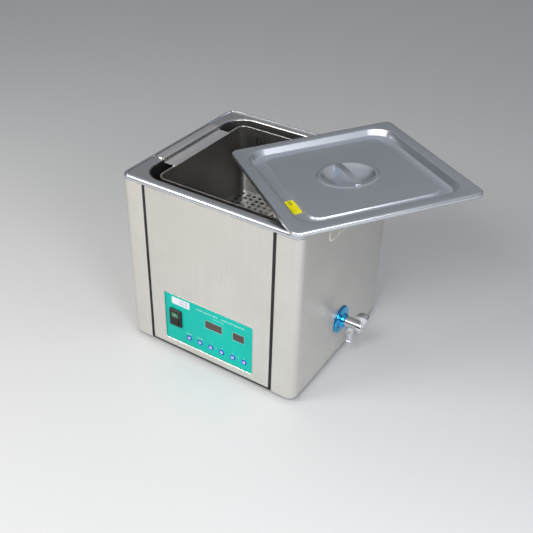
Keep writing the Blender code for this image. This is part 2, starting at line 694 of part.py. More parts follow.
def lever(chrome, place):
    """Hub and hooked lever, in the plane of the valve's axis; it turns about that axis."""
    hub = turned([(0.0125, VALVE_REACH), (0.0125, VALVE_REACH + 0.0050), (0.0100, VALVE_REACH + 0.0065)])
    piece = add("valve_handle", hub, chrome, place, facing(FACE_RIGHT))
    reach = VALVE_REACH
    outline = [(reach, 0.004), (reach + 0.0060, 0.004), (reach + 0.0120, 0.014), (reach + 0.0150, 0.024)]
    outline += [(reach + 0.0120, 0.0285), (reach + 0.0040, 0.0300), (reach - 0.0080, 0.0255)]
    outline += [(reach - 0.0080, 0.0220), (reach + 0.0005, 0.0190)]
    half = 0.0065
    loops = [[Vector((y, z, x)) for x, z in outline] for y in (-half, half)]
    arm = solid(loops)
    bmesh.ops.recalc_face_normals(arm, faces=arm.faces)
    return fuse(piece, arm, place, facing(FACE_RIGHT))


# --- Back of the cabinet --------------------------------------------------------
def fan(plastic):
    """Square frame, bladed rotor and outside guard, all on one axis."""
    inside = (FAN_X, HALF_DEPTH - SHEET - GAP, FAN_Z)
    outside = (FAN_X, HALF_DEPTH, FAN_Z)
    turn = facing(FACE_BACK)
    frame = add("fan_frame", prism(FAN_SIZE, FAN_SIZE, 0.004, -FAN_THICK, 0), plastic, inside, turn)
    cut(frame, turned([(FAN_BORE, 0.003 - FAN_THICK), (FAN_BORE, 0.01)]), inside, turn)
    windows = []
    for row in (-1, 1):
        for side in (-1, 1):
            x, y = side * 0.021, row * 0.021
            low = (x - 0.014, y - 0.014, -FAN_THICK - 0.01)
            windows.append((low, (x + 0.014, y + 0.014, 0.01 - FAN_THICK)))
    cut(frame, boxes(windows), inside, turn)
    loops = []
    for layer in range(4):
        height = 0.0045 - FAN_THICK + 0.005 * layer
        loops.append(rotor_outline(height, math.radians(11 * layer)))
    add("fan_rotor", solid(loops), plastic, inside, turn)
    guard(plastic, outside, turn)


def rotor_outline(height, twist):
    """Hub and blades in one section; stacking turned sections gives the blades their pitch."""
    hub, tip = 0.017, FAN_BORE - 0.002
    loop = []
    for blade in range(FAN_BLADES):
        start = twist + 2 * math.pi * blade / FAN_BLADES
        for radius, degrees in ((hub, 0), (tip, 2), (tip, 6), (hub, 10), (hub, 30)):
            angle = start + math.radians(degrees)
            loop.append(Vector((radius * math.cos(angle), radius * math.sin(angle), height)))
    return loop


def guard(metal, outside, turn):
    """Concentric rings on two crossed bars with a screw ear at each end."""
    bar, half = 0.0009, FAN_SIZE / 2 + 0.002
    low, high = GAP, 0.0022
    cross = boxes([((-half, -bar, low), (half, bar, high))])
    bmesh.ops.rotate(cross, verts=cross.verts, matrix=Matrix.Rotation(math.pi / 4, 3, "Z"))
    piece = add("fan_guard", cross, metal, outside, turn)
    other = boxes([((-bar, -half, low), (bar, half, high))])
    bmesh.ops.rotate(other, verts=other.verts, matrix=Matrix.Rotation(math.pi / 4, 3, "Z"))
    fuse(piece, other, outside, turn)
    for radius in (0.010, 0.020, 0.030, 0.039):
        profile = [(radius - 0.0008, low + 0.0002), (radius + 0.0008, low + 0.0002)]
        profile += [(radius + 0.0008, high - 0.0002), (radius - 0.0008, high - 0.0002)]
        hoop = turned_ring(profile, 28)
        bmesh.ops.recalc_face_normals(hoop, faces=hoop.faces)
        fuse(piece, hoop, outside, turn)


def power_inlet(plastic, metal):
    """Mains inlet with three pins, and the fuse drawer that slides out below it."""
    place, turn = (INLET_X, HALF_DEPTH, INLET_Z), facing(FACE_BACK)
    rows = [(INLET_WIDTH, INLET_HEIGHT, 0.002, -0.024), (INLET_WIDTH, INLET_HEIGHT, 0.002, GAP)]
    rows += [(INLET_WIDTH + 0.004, INLET_HEIGHT + 0.004, 0.003, GAP)]
    rows += [(INLET_WIDTH + 0.004, INLET_HEIGHT + 0.004, 0.003, 0.0018)]
    rows += [(INLET_WIDTH + 0.002, INLET_HEIGHT + 0.002, 0.002, 0.0026)]
    body = add("power_inlet", solid([rounded(*row, 3) for row in rows]), plastic, place, turn)
    socket_y, drawer_y = 0.0085, -0.0145
    well = boxes([((-0.0115, socket_y - 0.008, -0.016), (0.0115, socket_y + 0.008, 0.01))])
    pocket = boxes([((-0.0110, drawer_y - 0.0055, -0.021), (0.0110, drawer_y + 0.0055, 0.01))])
    cut(body, well, place, turn)
    cut(body, pocket, place, turn)
    pins = []
    for x, y in ((-0.007, socket_y - 0.002), (0.007, socket_y - 0.002), (0, socket_y + 0.002)):
        pins.append(((x - 0.001, y - 0.002, -0.018), (x + 0.001, y + 0.002, -0.004)))
    fuse(body, boxes(pins), place, turn)
    low = (GAP - 0.0110, drawer_y - 0.0055 + GAP, GAP - 0.021)
    high = (0.0110 - GAP, drawer_y + 0.0055 - GAP, 0.0034)
    return soften(add("fuse_drawer", boxes([(low, high)]), plastic, place, turn), 0.0005)


def rating_plate(foil):
    place = (PLATE_X, HALF_DEPTH + GAP, PLATE_Z)
    shape = prism(PLATE_WIDTH, PLATE_HEIGHT, 0.002, 0, 0.0005)
    add("rating_plate", shape, foil, place, facing(FACE_BACK))


# --- Basket ---------------------------------------------------------------------
def basket(steel):
    """Walls with a turned-in foot, the tray that lies on it, and the hanging handles."""
    rows = [(0.008, BASKET_BOTTOM), (0, BASKET_BOTTOM), (0, BASKET_TOP)]
    loops = [basket_loop(inset, z) for inset, z in rows]
    walls = thicken(add("basket_walls", skin(loops), steel), BASKET_SHEET)
    slots = []
    top = BODY_HEIGHT - SLOT_DROP
    for group in (-1, 0, 1):
        for index in range(SLOTS_IN_GROUP):
            x = group * GROUP_PITCH + (index - (SLOTS_IN_GROUP - 1) / 2) * SLOT_PITCH
            low = (x - SLOT_WIDTH / 2, -BASKET_DEPTH, top - SLOT_HEIGHT)
            slots.append((low, (x + SLOT_WIDTH / 2, BASKET_DEPTH, top)))
    cut(walls, boxes(slots))
    lift = BASKET_BOTTOM + BASKET_SHEET + GAP
    inset = BASKET_SHEET + GAP
    tray = solid([basket_loop(inset, lift), basket_loop(inset, lift + BASKET_SHEET)])
    add("basket_tray", tray, steel)
    for name, side in (("basket_handle_left", -1), ("basket_handle_right", 1)):
        basket_handle(name, side, steel)


def basket_loop(inset, height):
    width, depth = BASKET_WIDTH - 2 * inset, BASKET_DEPTH - 2 * inset
    return rounded(width, depth, max(BASKET_CORNER - inset, 0.004), height)


def basket_handle(name, side, steel):
    """A Z-bent strip: outer leg on the tank flange, inner leg over the basket's edge."""
    low = BASKET_TOP + GAP + SHEET
    high = FLANGE_TOP + GAP + SHEET
    half, corner = HANDLE_LENGTH / 2, 0.008
    wall = TANK_WIDTH / 2
    end = wall + HANDLE_REST - 0.001
    rows = [(end - corner + x, high, half - corner + y) for x, y in arc(0, 0, corner, 0, 90, 4)]
    rows += [(wall - 0.0012, high, half), (wall - 0.0042, low, half)]
    rows.append((BASKET_WIDTH / 2 - HANDLE_INNER, low, half))
    loops = [[Vector((side * x, -side * y, z)), Vector((side * x, side * y, z))] for x, z, y in rows]
    thicken(add(name, skin(loops, closed=False), steel), SHEET)


# --- Lid ------------------------------------------------------------------------
def lid_loop(inset, corner, height):
    return rounded(LID_WIDTH - 2 * inset, LID_LENGTH - 2 * inset, corner, height)


def lid(steel, handle_steel, paper):
    """Skirt, flange, channel, plateau and handle bowl in one sheet, with strap and label."""
    seat = bpy.data.objects.new("lid_seat", None)
    bpy.context.scene.collection.objects.link(seat)
    loops = [lid_loop(0, LID_CORNER, -LID_SKIRT)]
    for x, z in arc(LID_BEND, -LID_BEND, LID_BEND, 180, 90, 3):
        loops.append(lid_loop(x, LID_CORNER - x, z))
    plateau = LID_PLATEAU_RISE - LID_WELL
    wall_run, riser_run = 0.006, 0.0015
    loops.append(lid_loop(LID_FLANGE, LID_WELL_CORNER, 0))
    loops.append(lid_loop(LID_FLANGE + 0.0015, LID_WELL_CORNER - 0.0015, -0.001))
    floor = LID_FLANGE + wall_run
    loops.append(lid_loop(floor, LID_WELL_CORNER - wall_run, 0.001 - LID_WELL))
    loops.append(lid_loop(floor + 0.0015, LID_WELL_CORNER - wall_run - 0.0015, -LID_WELL))
    step = floor + LID_CHANNEL
    loops.append(lid_loop(step, 0.022, -LID_WELL))
    loops.append(lid_loop(step + riser_run, 0.020, plateau))
    loops.append(round_like(BOWL_RING, plateau))
    loops.append(round_like(BOWL_RING - 0.003, plateau + 0.0012))
    loops.append(round_like(BOWL_RADIUS, plateau + 0.0012))
    bowl = bowl_sphere()
    for fraction in (0.96, 0.72, 0.45, 0.2):
        radius = fraction * BOWL_RADIUS
        loops.append(round_like(radius, plateau - bowl_depth(radius, bowl)))
    thicken(add("lid_sheet", skin(loops, end_cap=True), steel, parent=seat), LID_SHEET)
    strap(handle_steel, seat, plateau)
    channel = LID_WIDTH / 2 - step + LID_CHANNEL / 2
    label = prism(0.015, 0.048, 0.001, GAP, GAP + 0.0004)
    add("lid_label", label, paper, (-channel, -0.070, -LID_WELL), (0, 0, 0), seat)
    return seat


def bowl_sphere():
    """Radius of the sphere that the bowl is part of."""
    return (BOWL_RADIUS**2 + BOWL_DEEP**2) / (2 * BOWL_DEEP)


def bowl_depth(radius, sphere):
    return BOWL_DEEP - sphere + math.sqrt(sphere**2 - radius**2)


def strap(steel, seat, plateau):
    """The arched bar that bridges the bowl along the lid's long side."""
    half = BOWL_RADIUS + 0.0015
    base = plateau + 0.0012 + GAP + STRAP_SHEET
    loops = []
    for step in range(9):
        y = half * (2 * step / 8 - 1)
        z = base + 0.002 * math.cos(0.5 * math.pi * y / half)
        loops.append([Vector((-STRAP_WIDTH / 2, y, z)), Vector((STRAP_WIDTH / 2, y, z))])
    thicken(add("lid_handle", skin(loops, closed=False), steel, parent=seat), STRAP_SHEET)


def world_shape(objects):
    """Points, faces and edges of the evaluated objects, in world space."""
    points, faces, edges = [], [], []
    graph = bpy.context.evaluated_depsgraph_get()
    for obj in objects:
        evaluated = obj.evaluated_get(graph)
        mesh = evaluated.to_mesh()
        first = len(points)
        points += [evaluated.matrix_world @ vertex.co for vertex in mesh.vertices]
        faces += [[first + v for v in polygon.vertices] for polygon in mesh.polygons]
        edges += [[first + v for v in edge.vertices] for edge in mesh.edges]
        evaluated.to_mesh_clear()
    return points, faces, edges


def edge_points(points, edges, spacing=0.002):
    samples = list(points)
    for a, b in edges:
        start, end = points[a], points[b]
        count = int((end - start).length / spacing)
        samples += [start.lerp(end, (i + 1) / (count + 1)) for i in range(count)]
    return samples


def settle(seat, pieces, supports):
    """Turns the lid on its seat and lowers it until it is a gap above what carries it."""
    turn = Matrix.Rotation(math.radians(-LID_TILT), 4, "Y") @ Matrix.Rotation(math.radians(LID_YAW), 4, "Z")
    start = BODY_HEIGHT + LID_WIDTH
    seat.matrix_world = Matrix.Translation((LID_X, LID_Y, start)) @ turn
    bpy.context.view_layer.update()
    upper, lower = world_shape(pieces), world_shape(supports)
    drops = []
    for own, other, direction in ((upper, lower, -1), (lower, upper, 1)):
        tree = BVHTree.FromPolygons(other[0], other[1])
        for point in edge_points(own[0], own[2]):
            distance = tree.ray_cast(point, Vector((0, 0, direction)))[3]
            if distance is not None:
                drops.append(distance)
    seat.location.z = start - min(drops) + 2 * GAP


# --- The whole cleaner ------------------------------------------------------------
def build():
    clear_scene()
    steel = finish("satin_steel", (0.72, 0.71, 0.69), 0.32, 1.0)
    shell = finish("cabinet_steel", (0.78, 0.76, 0.73), 0.38, 1.0)
    polished = finish("polished_steel", (0.80, 0.80, 0.79), 0.18, 1.0)
    chrome = finish("chrome", (0.85, 0.86, 0.88), 0.08, 1.0)
    blue = finish("blue_enamel", (0.01, 0.30, 0.62), 0.25, 0.3)
    black = finish("black_plastic", (0.02, 0.02, 0.022), 0.45, 0.0)
    rubber = finish("black_rubber", (0.03, 0.03, 0.03), 0.8, 0.0)
    green = finish("panel_green", (0.02, 0.22, 0.20), 0.35, 0.0)
    glass = finish("display_glass", (0.05, 0.01, 0.01), 0.1, 0.0)
    key_blue = finish("key_blue", (0.03, 0.25, 0.55), 0.4, 0.0)
    cream = finish("cup_cream", (0.75, 0.72, 0.66), 0.5, 0.0)
    board_green = finish("board_green", (0.02, 0.16, 0.06), 0.5, 0.0)
    dull = finish("cast_metal", (0.55, 0.55, 0.56), 0.5, 1.0)
    silicone = finish("silicone_red", (0.45, 0.07, 0.04), 0.6, 0.0)
    copper = finish("winding", (0.45, 0.22, 0.08), 0.45, 0.6)
    foil = finish("foil", (0.70, 0.70, 0.72), 0.4, 0.6)
    label = finish("label_yellow", (0.75, 0.55, 0.10), 0.5, 0.0)

    top_frame(shell)
    tank(steel)
    side_shells(shell)
    front_panel(shell)
    groove_strips(rubber)
    back_panel(shell)
    base_plate(dull)
    feet(rubber)
    grip_cups(cream)
    panel_tray(polished)
    control_panel(green)
    displays(glass)
    keys(key_blue)
    rocker_switch(black, black)
    electronics(board_green, copper)
    transducers(dull)
    heaters(silicone, dull)
    drain_pipe(dull)
    valve(blue, chrome)
    fan(black)
    power_inlet(black, dull)
    rating_plate(foil)
    basket(steel)
    seat = lid(polished, polished, label)
    objects = bpy.data.objects
    carried = [objects["lid_sheet"]]
    names = ("top_frame", "tank", "basket_walls", "basket_handle_left", "basket_handle_right")
    settle(seat, carried, [objects[name] for name in names])


build()
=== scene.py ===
# %% [markdown]
# # A bench ultrasonic cleaner
# The object is a steel box with a deep tank in it. A basket hangs in the tank, a pressed lid
# lies askew on top, a film key panel sits low on the front and a drain valve sticks out of
# the right side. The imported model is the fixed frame: it says where every part is. This
# script adds the fine surfaces around it, one kind of piece at a time.

# %% Load the frame
import json
import math

import bmesh
import bpy
from mathutils import Matrix, Vector


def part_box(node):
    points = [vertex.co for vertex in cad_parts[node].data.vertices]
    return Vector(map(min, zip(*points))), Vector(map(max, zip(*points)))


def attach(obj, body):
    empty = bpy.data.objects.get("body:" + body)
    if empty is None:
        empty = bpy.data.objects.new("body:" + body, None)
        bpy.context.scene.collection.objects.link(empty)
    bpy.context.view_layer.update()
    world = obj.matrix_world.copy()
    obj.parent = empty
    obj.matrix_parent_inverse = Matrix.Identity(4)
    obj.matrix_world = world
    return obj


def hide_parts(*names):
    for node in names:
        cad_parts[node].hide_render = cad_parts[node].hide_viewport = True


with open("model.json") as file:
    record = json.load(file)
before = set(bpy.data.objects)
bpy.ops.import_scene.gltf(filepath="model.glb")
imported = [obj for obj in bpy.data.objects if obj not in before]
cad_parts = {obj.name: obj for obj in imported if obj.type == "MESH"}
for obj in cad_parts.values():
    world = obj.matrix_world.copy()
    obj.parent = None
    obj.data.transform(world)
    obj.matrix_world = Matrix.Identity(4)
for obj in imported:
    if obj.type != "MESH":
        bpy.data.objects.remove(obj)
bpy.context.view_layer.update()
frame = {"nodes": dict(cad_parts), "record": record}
nodes = frame["nodes"]

# %% [markdown]
# ## Sizes
# Most places come from the frame, through the boxes of its parts. The few sizes below are
# those that a box can't tell: bends, corners, wall thickness and pitches of patterns.

# %% Sizes that the pieces share
GAP = 0.0003
SHEET = 0.0012
BODY_LOW, BODY_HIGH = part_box("top_frame")
WIDTH = BODY_HIGH.x - BODY_LOW.x
DEPTH = BODY_HIGH.y - BODY_LOW.y
HEIGHT = BODY_HIGH.z
HALF_W, HALF_D = WIDTH / 2, DEPTH / 2
CORNER = 0.016
RIM_BEND, RIM_LAND, RIM_RUN = 0.0065, 0.0006, 0.0008
FLANGE_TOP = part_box("tank")[1].z
FLOOR_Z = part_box("foot_front_left")[0].z
print(f"cabinet {WIDTH:.3f} x {DEPTH:.3f} x {HEIGHT:.3f} m, feet on {FLOOR_Z:.3f}")

# %% [markdown]
# ## Camera, floor and light
# The camera looks down on the front right corner. Its angles are given, and its place
# follows from them, from the aim point and from the distance. A pale floor and a pale room
# with three soft lights give polished sheet something calm to reflect. The plain view
# transform keeps the strong colours of the panel, the rose and the sticker.

# %% Camera
AZIMUTH, ELEVATION, ROLL = math.radians(31.42), math.radians(34.81), math.radians(1.76)
LENS_MM, SENSOR_MM, DISTANCE = 52.12, 36.0, 1.521
AIM_SIDE, AIM_HEIGHT = 0.01406, 0.1258


def place_camera():
    """Puts the camera on a sphere round the aim point and rolls it a little."""
    right = Vector((math.cos(AZIMUTH), math.sin(AZIMUTH), 0))
    back = Vector((math.sin(AZIMUTH) * math.cos(ELEVATION), -math.cos(AZIMUTH) * math.cos(ELEVATION),
                   math.sin(ELEVATION)))
    up = back.cross(right)
    aim = AIM_SIDE * right + Vector((0, 0, AIM_HEIGHT))
    side = right * math.cos(ROLL) + up * math.sin(ROLL)
    over = up * math.cos(ROLL) - right * math.sin(ROLL)
    turn = Matrix((side, over, back)).transposed().to_4x4()
    lens = bpy.data.cameras.new("camera")
    lens.lens, lens.sensor_width = LENS_MM, SENSOR_MM
    lens.clip_start, lens.clip_end = 0.05, 50
    camera = bpy.data.objects.new("camera", lens)
    camera.matrix_world = Matrix.Translation(aim + DISTANCE * back) @ turn
    bpy.context.scene.collection.objects.link(camera)
    bpy.context.scene.camera = camera
    return camera


camera = place_camera()
bpy.context.scene.view_settings.view_transform = "Standard"
print("camera at", [round(c, 3) for c in camera.location])


# %% Lights
def soft_light(name, place, aim, size, power, colour):
    """A square soft light that faces a point."""
    lamp = bpy.data.lights.new(name, "AREA")
    lamp.shape, lamp.size, lamp.energy, lamp.color = "SQUARE", size, power, colour
    obj = bpy.data.objects.new(name, lamp)
    obj.location = place
    obj.rotation_euler = (Vector(aim) - Vector(place)).to_track_quat("-Z", "Y").to_euler()
    bpy.context.scene.collection.objects.link(obj)


soft_light("key_light", (-0.95, -1.35, 1.25), (-0.50, -0.80, 0.0), 0.8, 17, (1.0, 0.95, 0.88))
soft_light("side_light", (1.05, -0.75, 0.95), (0.60, -0.30, 0.0), 0.5, 8, (0.94, 0.97, 1.0))
soft_light("front_light", (0.30, -1.25, 1.35), (0.1, 0.0, 0.38), 0.45, 9, (0.92, 0.96, 1.0))

# %% [markdown]
# ## Writing materials as sums
# A shader is easier to read as an expression than as a list of links. The class below wraps
# one socket. Adding or multiplying two of them makes the Math node, so a pattern can be
# written the way it would be on paper.


# %% Shader expressions
class Socket:
    """One output of a node tree. Arithmetic on it adds Math nodes."""

    def __init__(self, tree, socket):
        self.tree, self.socket = tree, socket

    def maths(self, operation, *values):
        return self.tree.node("ShaderNodeMath", {"operation": operation}, dict(enumerate(values)))

    def __add__(self, other):
        return self.maths("ADD", self, other)

    def __sub__(self, other):
        return self.maths("SUBTRACT", self, other)

    def __rsub__(self, other):
        return self.maths("SUBTRACT", other, self)

    def __mul__(self, other):
        return self.maths("MULTIPLY", self, other)

    __radd__, __rmul__ = __add__, __mul__


class Finish:
    """A material under construction: a Principled shader and the nodes that feed it."""

    def __init__(self, name, colour, roughness, metallic=0.0, **fixed):
        self.material = bpy.data.materials.new(name)
        self.material.use_nodes = True
        self.nodes = self.material.node_tree.nodes
        self.shader = self.nodes["Principled BSDF"]
        self.set("Base Color", (*colour, 1.0))
        self.set("Roughness", roughness)
        self.set("Metallic", metallic)
        for label, value in fixed.items():
            self.set(label.replace("_", " "), value)
        self.material.diffuse_color = (*colour, 1.0)

    def set(self, label, value):
        self.shader.inputs[label].default_value = value

    def node(self, kind, settings, values, out=0):
        """Adds any node: its settings first, then the values or links of its sockets."""
        made = self.nodes.new(kind)
        for label, value in settings.items():
            if label == "stops":
                self.fill_ramp(made.color_ramp, value)
            else:
                setattr(made, label, value)
        for label, value in values.items():
            if isinstance(value, Socket):
                self.material.node_tree.links.new(value.socket, made.inputs[label])
            else:
                made.inputs[label].default_value = value
        return Socket(self, made.outputs[out])

    def fill_ramp(self, ramp, stops):
        while len(ramp.elements) < len(stops):
            ramp.elements.new(0.5)
        for element, (place, level) in zip(ramp.elements, stops):
            element.position = place
            element.color = (level, level, level, 1)

    def place(self):
        return self.node("ShaderNodeTexCoord", {}, {}, "Object")

    def stretched(self, scale):
        """Object coordinates with each axis scaled, which draws a noise out into grain."""
        return self.node("ShaderNodeMapping", {}, {"Vector": self.place(), "Scale": scale})

    def noise(self, where, scale, detail=2.0, rough=0.5):
        values = {"Vector": where, "Scale": scale, "Detail": detail, "Roughness": rough}
        return self.node("ShaderNodeTexNoise", {}, values)

    def ramp(self, value, *stops):
        return self.node("ShaderNodeValToRGB", {"stops": stops}, {0: value})

    def blend(self, mask, first, second):
        """Mixes two colours by a mask."""
        settings = {"data_type": "RGBA"}
        return self.node("ShaderNodeMix", settings, {0: mask, 6: (*first, 1), 7: (*second, 1)}, 2)

    def feed(self, label, value):
        self.material.node_tree.links.new(value.socket, self.shader.inputs[label])

    def bump(self, height, strength, distance):
        values = {"Height": height, "Strength": strength, "Distance": distance}
        self.feed("Normal", self.node("ShaderNodeBump", {}, values))


# %% [markdown]
# ## Finishes
# Most of the cleaner is stainless sheet, and it comes in three looks: cabinet sheet with
# upright brushed grain, pressed sheet with a soft satin bloom, and the darker
# sheet of the basket. Each is a stretched noise for the grain, a broad one for handling
# marks, and a fine one for the tiny pits that break up a highlight.


# %% Sheet metal
def sheet_metal(name, light, dark, roughness, grain, streak=0.05, cloud=0.07, relief=0.00002):
    """Brushed or satin sheet. The grain is the noise scale along X, Y and Z."""
    finish = Finish(name, light, roughness, 1.0)
    lines = finish.noise(finish.stretched(grain), 1.0, 3.0, 0.6)
    marks = finish.noise(finish.place(), 9.0, 4.0, 0.6)
    pits = finish.noise(finish.place(), 900.0, 1.0)
    tone = finish.ramp(0.55 * marks + 0.45 * lines, (0.32, 0.0), (0.68, 1.0))
    finish.feed("Base Color", finish.blend(tone, dark, light))
    finish.feed("Roughness", roughness + streak * (lines - 0.5) + cloud * (marks - 0.5))
    finish.bump(lines + 0.25 * pits, 0.12, relief)
    return finish.material


cabinet_steel = sheet_metal("cabinet_steel", (0.80, 0.775, 0.735), (0.70, 0.675, 0.64), 0.34,
                            (1100, 1100, 7), 0.12)
rim_steel = sheet_metal("rim_steel", (0.66, 0.69, 0.74), (0.62, 0.65, 0.70), 0.30, (900, 900, 900),
                        0.03, 0.04, 0.000002)
lid_steel = sheet_metal("lid_steel", (0.80, 0.83, 0.88), (0.77, 0.80, 0.85), 0.34, (900, 900, 900),
                        0.03, 0.03, 0.000002)
tank_steel = sheet_metal("tank_steel", (0.60, 0.60, 0.60), (0.54, 0.54, 0.54), 0.30, (500, 500, 25),
                         0.04, 0.04, 0.000004)
basket_steel = sheet_metal("basket_steel", (0.55, 0.54, 0.52), (0.42, 0.41, 0.395), 0.33, (700, 700, 7), 0.10)
plain_steel = sheet_metal("plain_steel", (0.60, 0.60, 0.61), (0.50, 0.50, 0.51), 0.45, (70, 70, 70))
chrome = sheet_metal("chrome_plate", (0.82, 0.83, 0.86), (0.76, 0.77, 0.80), 0.06, (400, 400, 400),
                     0.02, 0.03, 0.00001)
# Painted highlight: a lighter, glossier copy of the sheet for the edges that catch the light: the panel tray,
# the basket's hem, its hangers and their welds.
bright_edge = sheet_metal("bright_edge", (0.88, 0.86, 0.83), (0.80, 0.78, 0.75), 0.25, (900, 900, 900))


# %% Enamel, film, plastic and rubber
def moulded(name, light, dark, roughness, grain=1500.0, height=0.00006, **fixed):
    """Moulded or painted surface: fine skin texture, faint colour drift, worn gloss."""
    finish = Finish(name, light, roughness, **fixed)
    drift = finish.noise(finish.place(), 14.0, 3.0)
    skin = finish.noise(finish.place(), grain, 2.0)
    finish.feed("Base Color", finish.blend(finish.ramp(drift, (0.35, 0.0), (0.65, 1.0)), dark, light))
    finish.feed("Roughness", roughness + 0.10 * (drift - 0.5) + 0.06 * (skin - 0.5))
    finish.bump(skin, 0.35, height)
    return finish.material


def anodised(name, light, dark):
    """Blue dyed aluminium: a metal whose colour deepens with a slow drift."""
    finish = Finish(name, light, 0.16, 1.0, Coat_Weight=0.6, Coat_Roughness=0.05)
    drift = finish.noise(finish.place(), 60.0, 3.0)
    rings = finish.noise(finish.stretched((1500, 120, 120)), 1.0, 2.0)
    finish.feed("Base Color", finish.blend(finish.ramp(drift, (0.3, 0.0), (0.7, 1.0)), dark, light))
    finish.feed("Roughness", 0.12 + 0.10 * rings)
    finish.bump(rings, 0.15, 0.00004)
    return finish.material


blue_enamel = anodised("blue_enamel", (0.01, 0.52, 0.98), (0.005, 0.40, 0.88))
panel_film = moulded("panel_film", (0.0, 0.54, 0.45), (0.0, 0.49, 0.41), 0.45, 2600.0, 0.00002,
                     Specular_IOR_Level=0.25)
print_ink = moulded("print_ink", (0.66, 0.93, 0.86), (0.60, 0.88, 0.80), 0.45)
white_ink = moulded("white_ink", (0.86, 0.89, 0.92), (0.80, 0.83, 0.87), 0.4)
pale_print = moulded("pale_print", (0.06, 0.24, 0.48), (0.04, 0.19, 0.42), 0.45)
key_blue = moulded("key_blue", (0.005, 0.030, 0.66), (0.005, 0.02, 0.55), 0.3, 2400.0, 0.00003)
black_plastic = moulded("black_plastic", (0.018, 0.019, 0.020), (0.010, 0.011, 0.012), 0.42)
black_rubber = moulded("black_rubber", (0.030, 0.031, 0.033), (0.017, 0.018, 0.020), 0.72, 700.0, 0.0002)
cup_cream = moulded("cup_cream", (0.80, 0.77, 0.71), (0.74, 0.71, 0.66), 0.38)
rocker_green = moulded("rocker_green", (0.0, 0.24, 0.09), (0.0, 0.15, 0.055), 0.18,
                       Coat_Weight=0.7, Coat_Roughness=0.08)
display_glass = moulded("display_glass", (0.040, 0.012, 0.008), (0.025, 0.008, 0.006), 0.12,
                        Coat_Weight=0.8, Coat_Roughness=0.04)
segment_red = moulded("segment_red", (0.13, 0.055, 0.045), (0.10, 0.04, 0.03), 0.4)
board_green = moulded("board_green", (0.02, 0.17, 0.07), (0.015, 0.12, 0.05), 0.4, 260.0)
silicone_red = moulded("silicone_red", (0.48, 0.08, 0.05), (0.38, 0.06, 0.04), 0.55, 500.0)
winding = sheet_metal("winding", (0.60, 0.30, 0.12), (0.42, 0.20, 0.08), 0.35, (40, 2600, 40))
label_yellow = moulded("label_yellow", (1.0, 0.90, 0.0), (0.98, 0.86, 0.0), 0.5, 900.0, 0.00002,
                       Specular_IOR_Level=0.2)
label_black = moulded("label_black", (0.03, 0.03, 0.02), (0.02, 0.02, 0.015), 0.5)
foil = sheet_metal("foil", (0.74, 0.74, 0.76), (0.66, 0.66, 0.68), 0.35, (30, 30, 1200))
print("finishes:", len(bpy.data.materials))

# %% [markdown]
# ## Dressing the parts that stay
# Parts inside the cabinet, and plain ones that already have the right shape, keep their
# frame mesh. Each takes the finish of its own material slot.

# %% Finishes by slot
FINISH_OF_SLOT = {
    "satin_steel": tank_steel, "cabinet_steel": cabinet_steel, "polished_steel": lid_steel,
    "chrome": chrome, "blue_enamel": blue_enamel, "black_plastic": black_plastic,
    "black_rubber": black_rubber, "panel_green": panel_film, "display_glass": display_glass,
    "key_blue": key_blue, "cup_cream": cup_cream, "board_green": board_green,
    "cast_metal": plain_steel, "silicone_red": silicone_red, "winding": winding,
    "foil": foil, "label_yellow": label_yellow,
}
SLOT_OF_NODE = {part["node"]: part["material_slot"] for part in frame["record"]["subparts"]}
for name, node in nodes.items():
    node.data.materials.clear()
    node.data.materials.append(FINISH_OF_SLOT[SLOT_OF_NODE[name]])
print("dressed", len(nodes), "frame parts")

# %% [markdown]
# ## A small mesh kit
# Sheet metal parts are loops of points joined into a skin, which then gets its thickness
# and a softened edge. Turned parts are the same thing with round loops. Everything is
# built at its own place in the mesh, so that the finished object sits at the origin.


# %% Outlines
def arc(cx, cy, radius, start, end, steps=8):
    """Points of an arc between two angles in degrees."""
    angles = [math.radians(start + (end - start) * i / steps) for i in range(steps + 1)]
    return [(cx + radius * math.cos(a), cy + radius * math.sin(a)) for a in angles]


def rounded(width, depth, radius, height, steps=10):
    """A loop round a rectangle with round corners, anticlockwise from above."""
    radius = min(max(radius, 0.0002), 0.4999 * min(width, depth))
    x, y = width / 2 - radius, depth / 2 - radius
    outline = []
    for cx, cy, start in ((x, y, 0), (-x, y, 90), (-x, -y, 180), (x, -y, 270)):
        outline += arc(cx, cy, radius, start, start + 90, steps)
    return [Vector((px, py, height)) for px, py in outline]


def circle(radius, height, steps=48):
    angles = [2 * math.pi * i / steps for i in range(steps)]
    return [Vector((radius * math.cos(a), radius * math.sin(a), height)) for a in angles]


def filleted(points, radii, steps=5):
    """A run of (x, y) points with each inner corner rounded to its own radius."""
    path = [points[0]]
    for i in range(1, len(points) - 1):
        here, radius = Vector(points[i]), radii[i - 1]
        before = (Vector(points[i - 1]) - here).normalized()
        after = (Vector(points[i + 1]) - here).normalized()
        half = before.angle(after) / 2
        reach = radius / math.tan(half)
        start, end = here + before * reach, here + after * reach
        middle = here + (before + after).normalized() * radius / math.sin(half)
        for step in range(steps + 1):
            spoke = (start - middle).slerp(end - middle, step / steps).normalized()
            path.append(tuple(middle + spoke * radius))
    path.append(points[-1])
    return path


# %% Skins and solids
def skin(loops, closed=True, ring=False, start_cap=False, end_cap=False):
    """Joins each loop to the next. A ring also joins the last to the first."""
    shape = bmesh.new()
    rows = [[shape.verts.new(point) for point in loop] for loop in loops]
    for low, high in list(zip(rows, rows[1:])) + ([(rows[-1], rows[0])] if ring else []):
        count = len(low)
        for i in range(count if closed else count - 1):
            j = (i + 1) % count
            shape.faces.new((low[i], low[j], high[j], high[i]))
    if start_cap:
        shape.faces.new(list(reversed(rows[0])))
    if end_cap:
        shape.faces.new(rows[-1])
    return shape


def solid(loops):
    return skin(loops, start_cap=True, end_cap=True)


def prism(width, depth, radius, low, high, steps=6):
    return solid([rounded(width, depth, radius, z, steps) for z in (low, high)])


def turned(profile, steps=48):
    return solid([circle(radius, height, steps) for radius, height in profile])


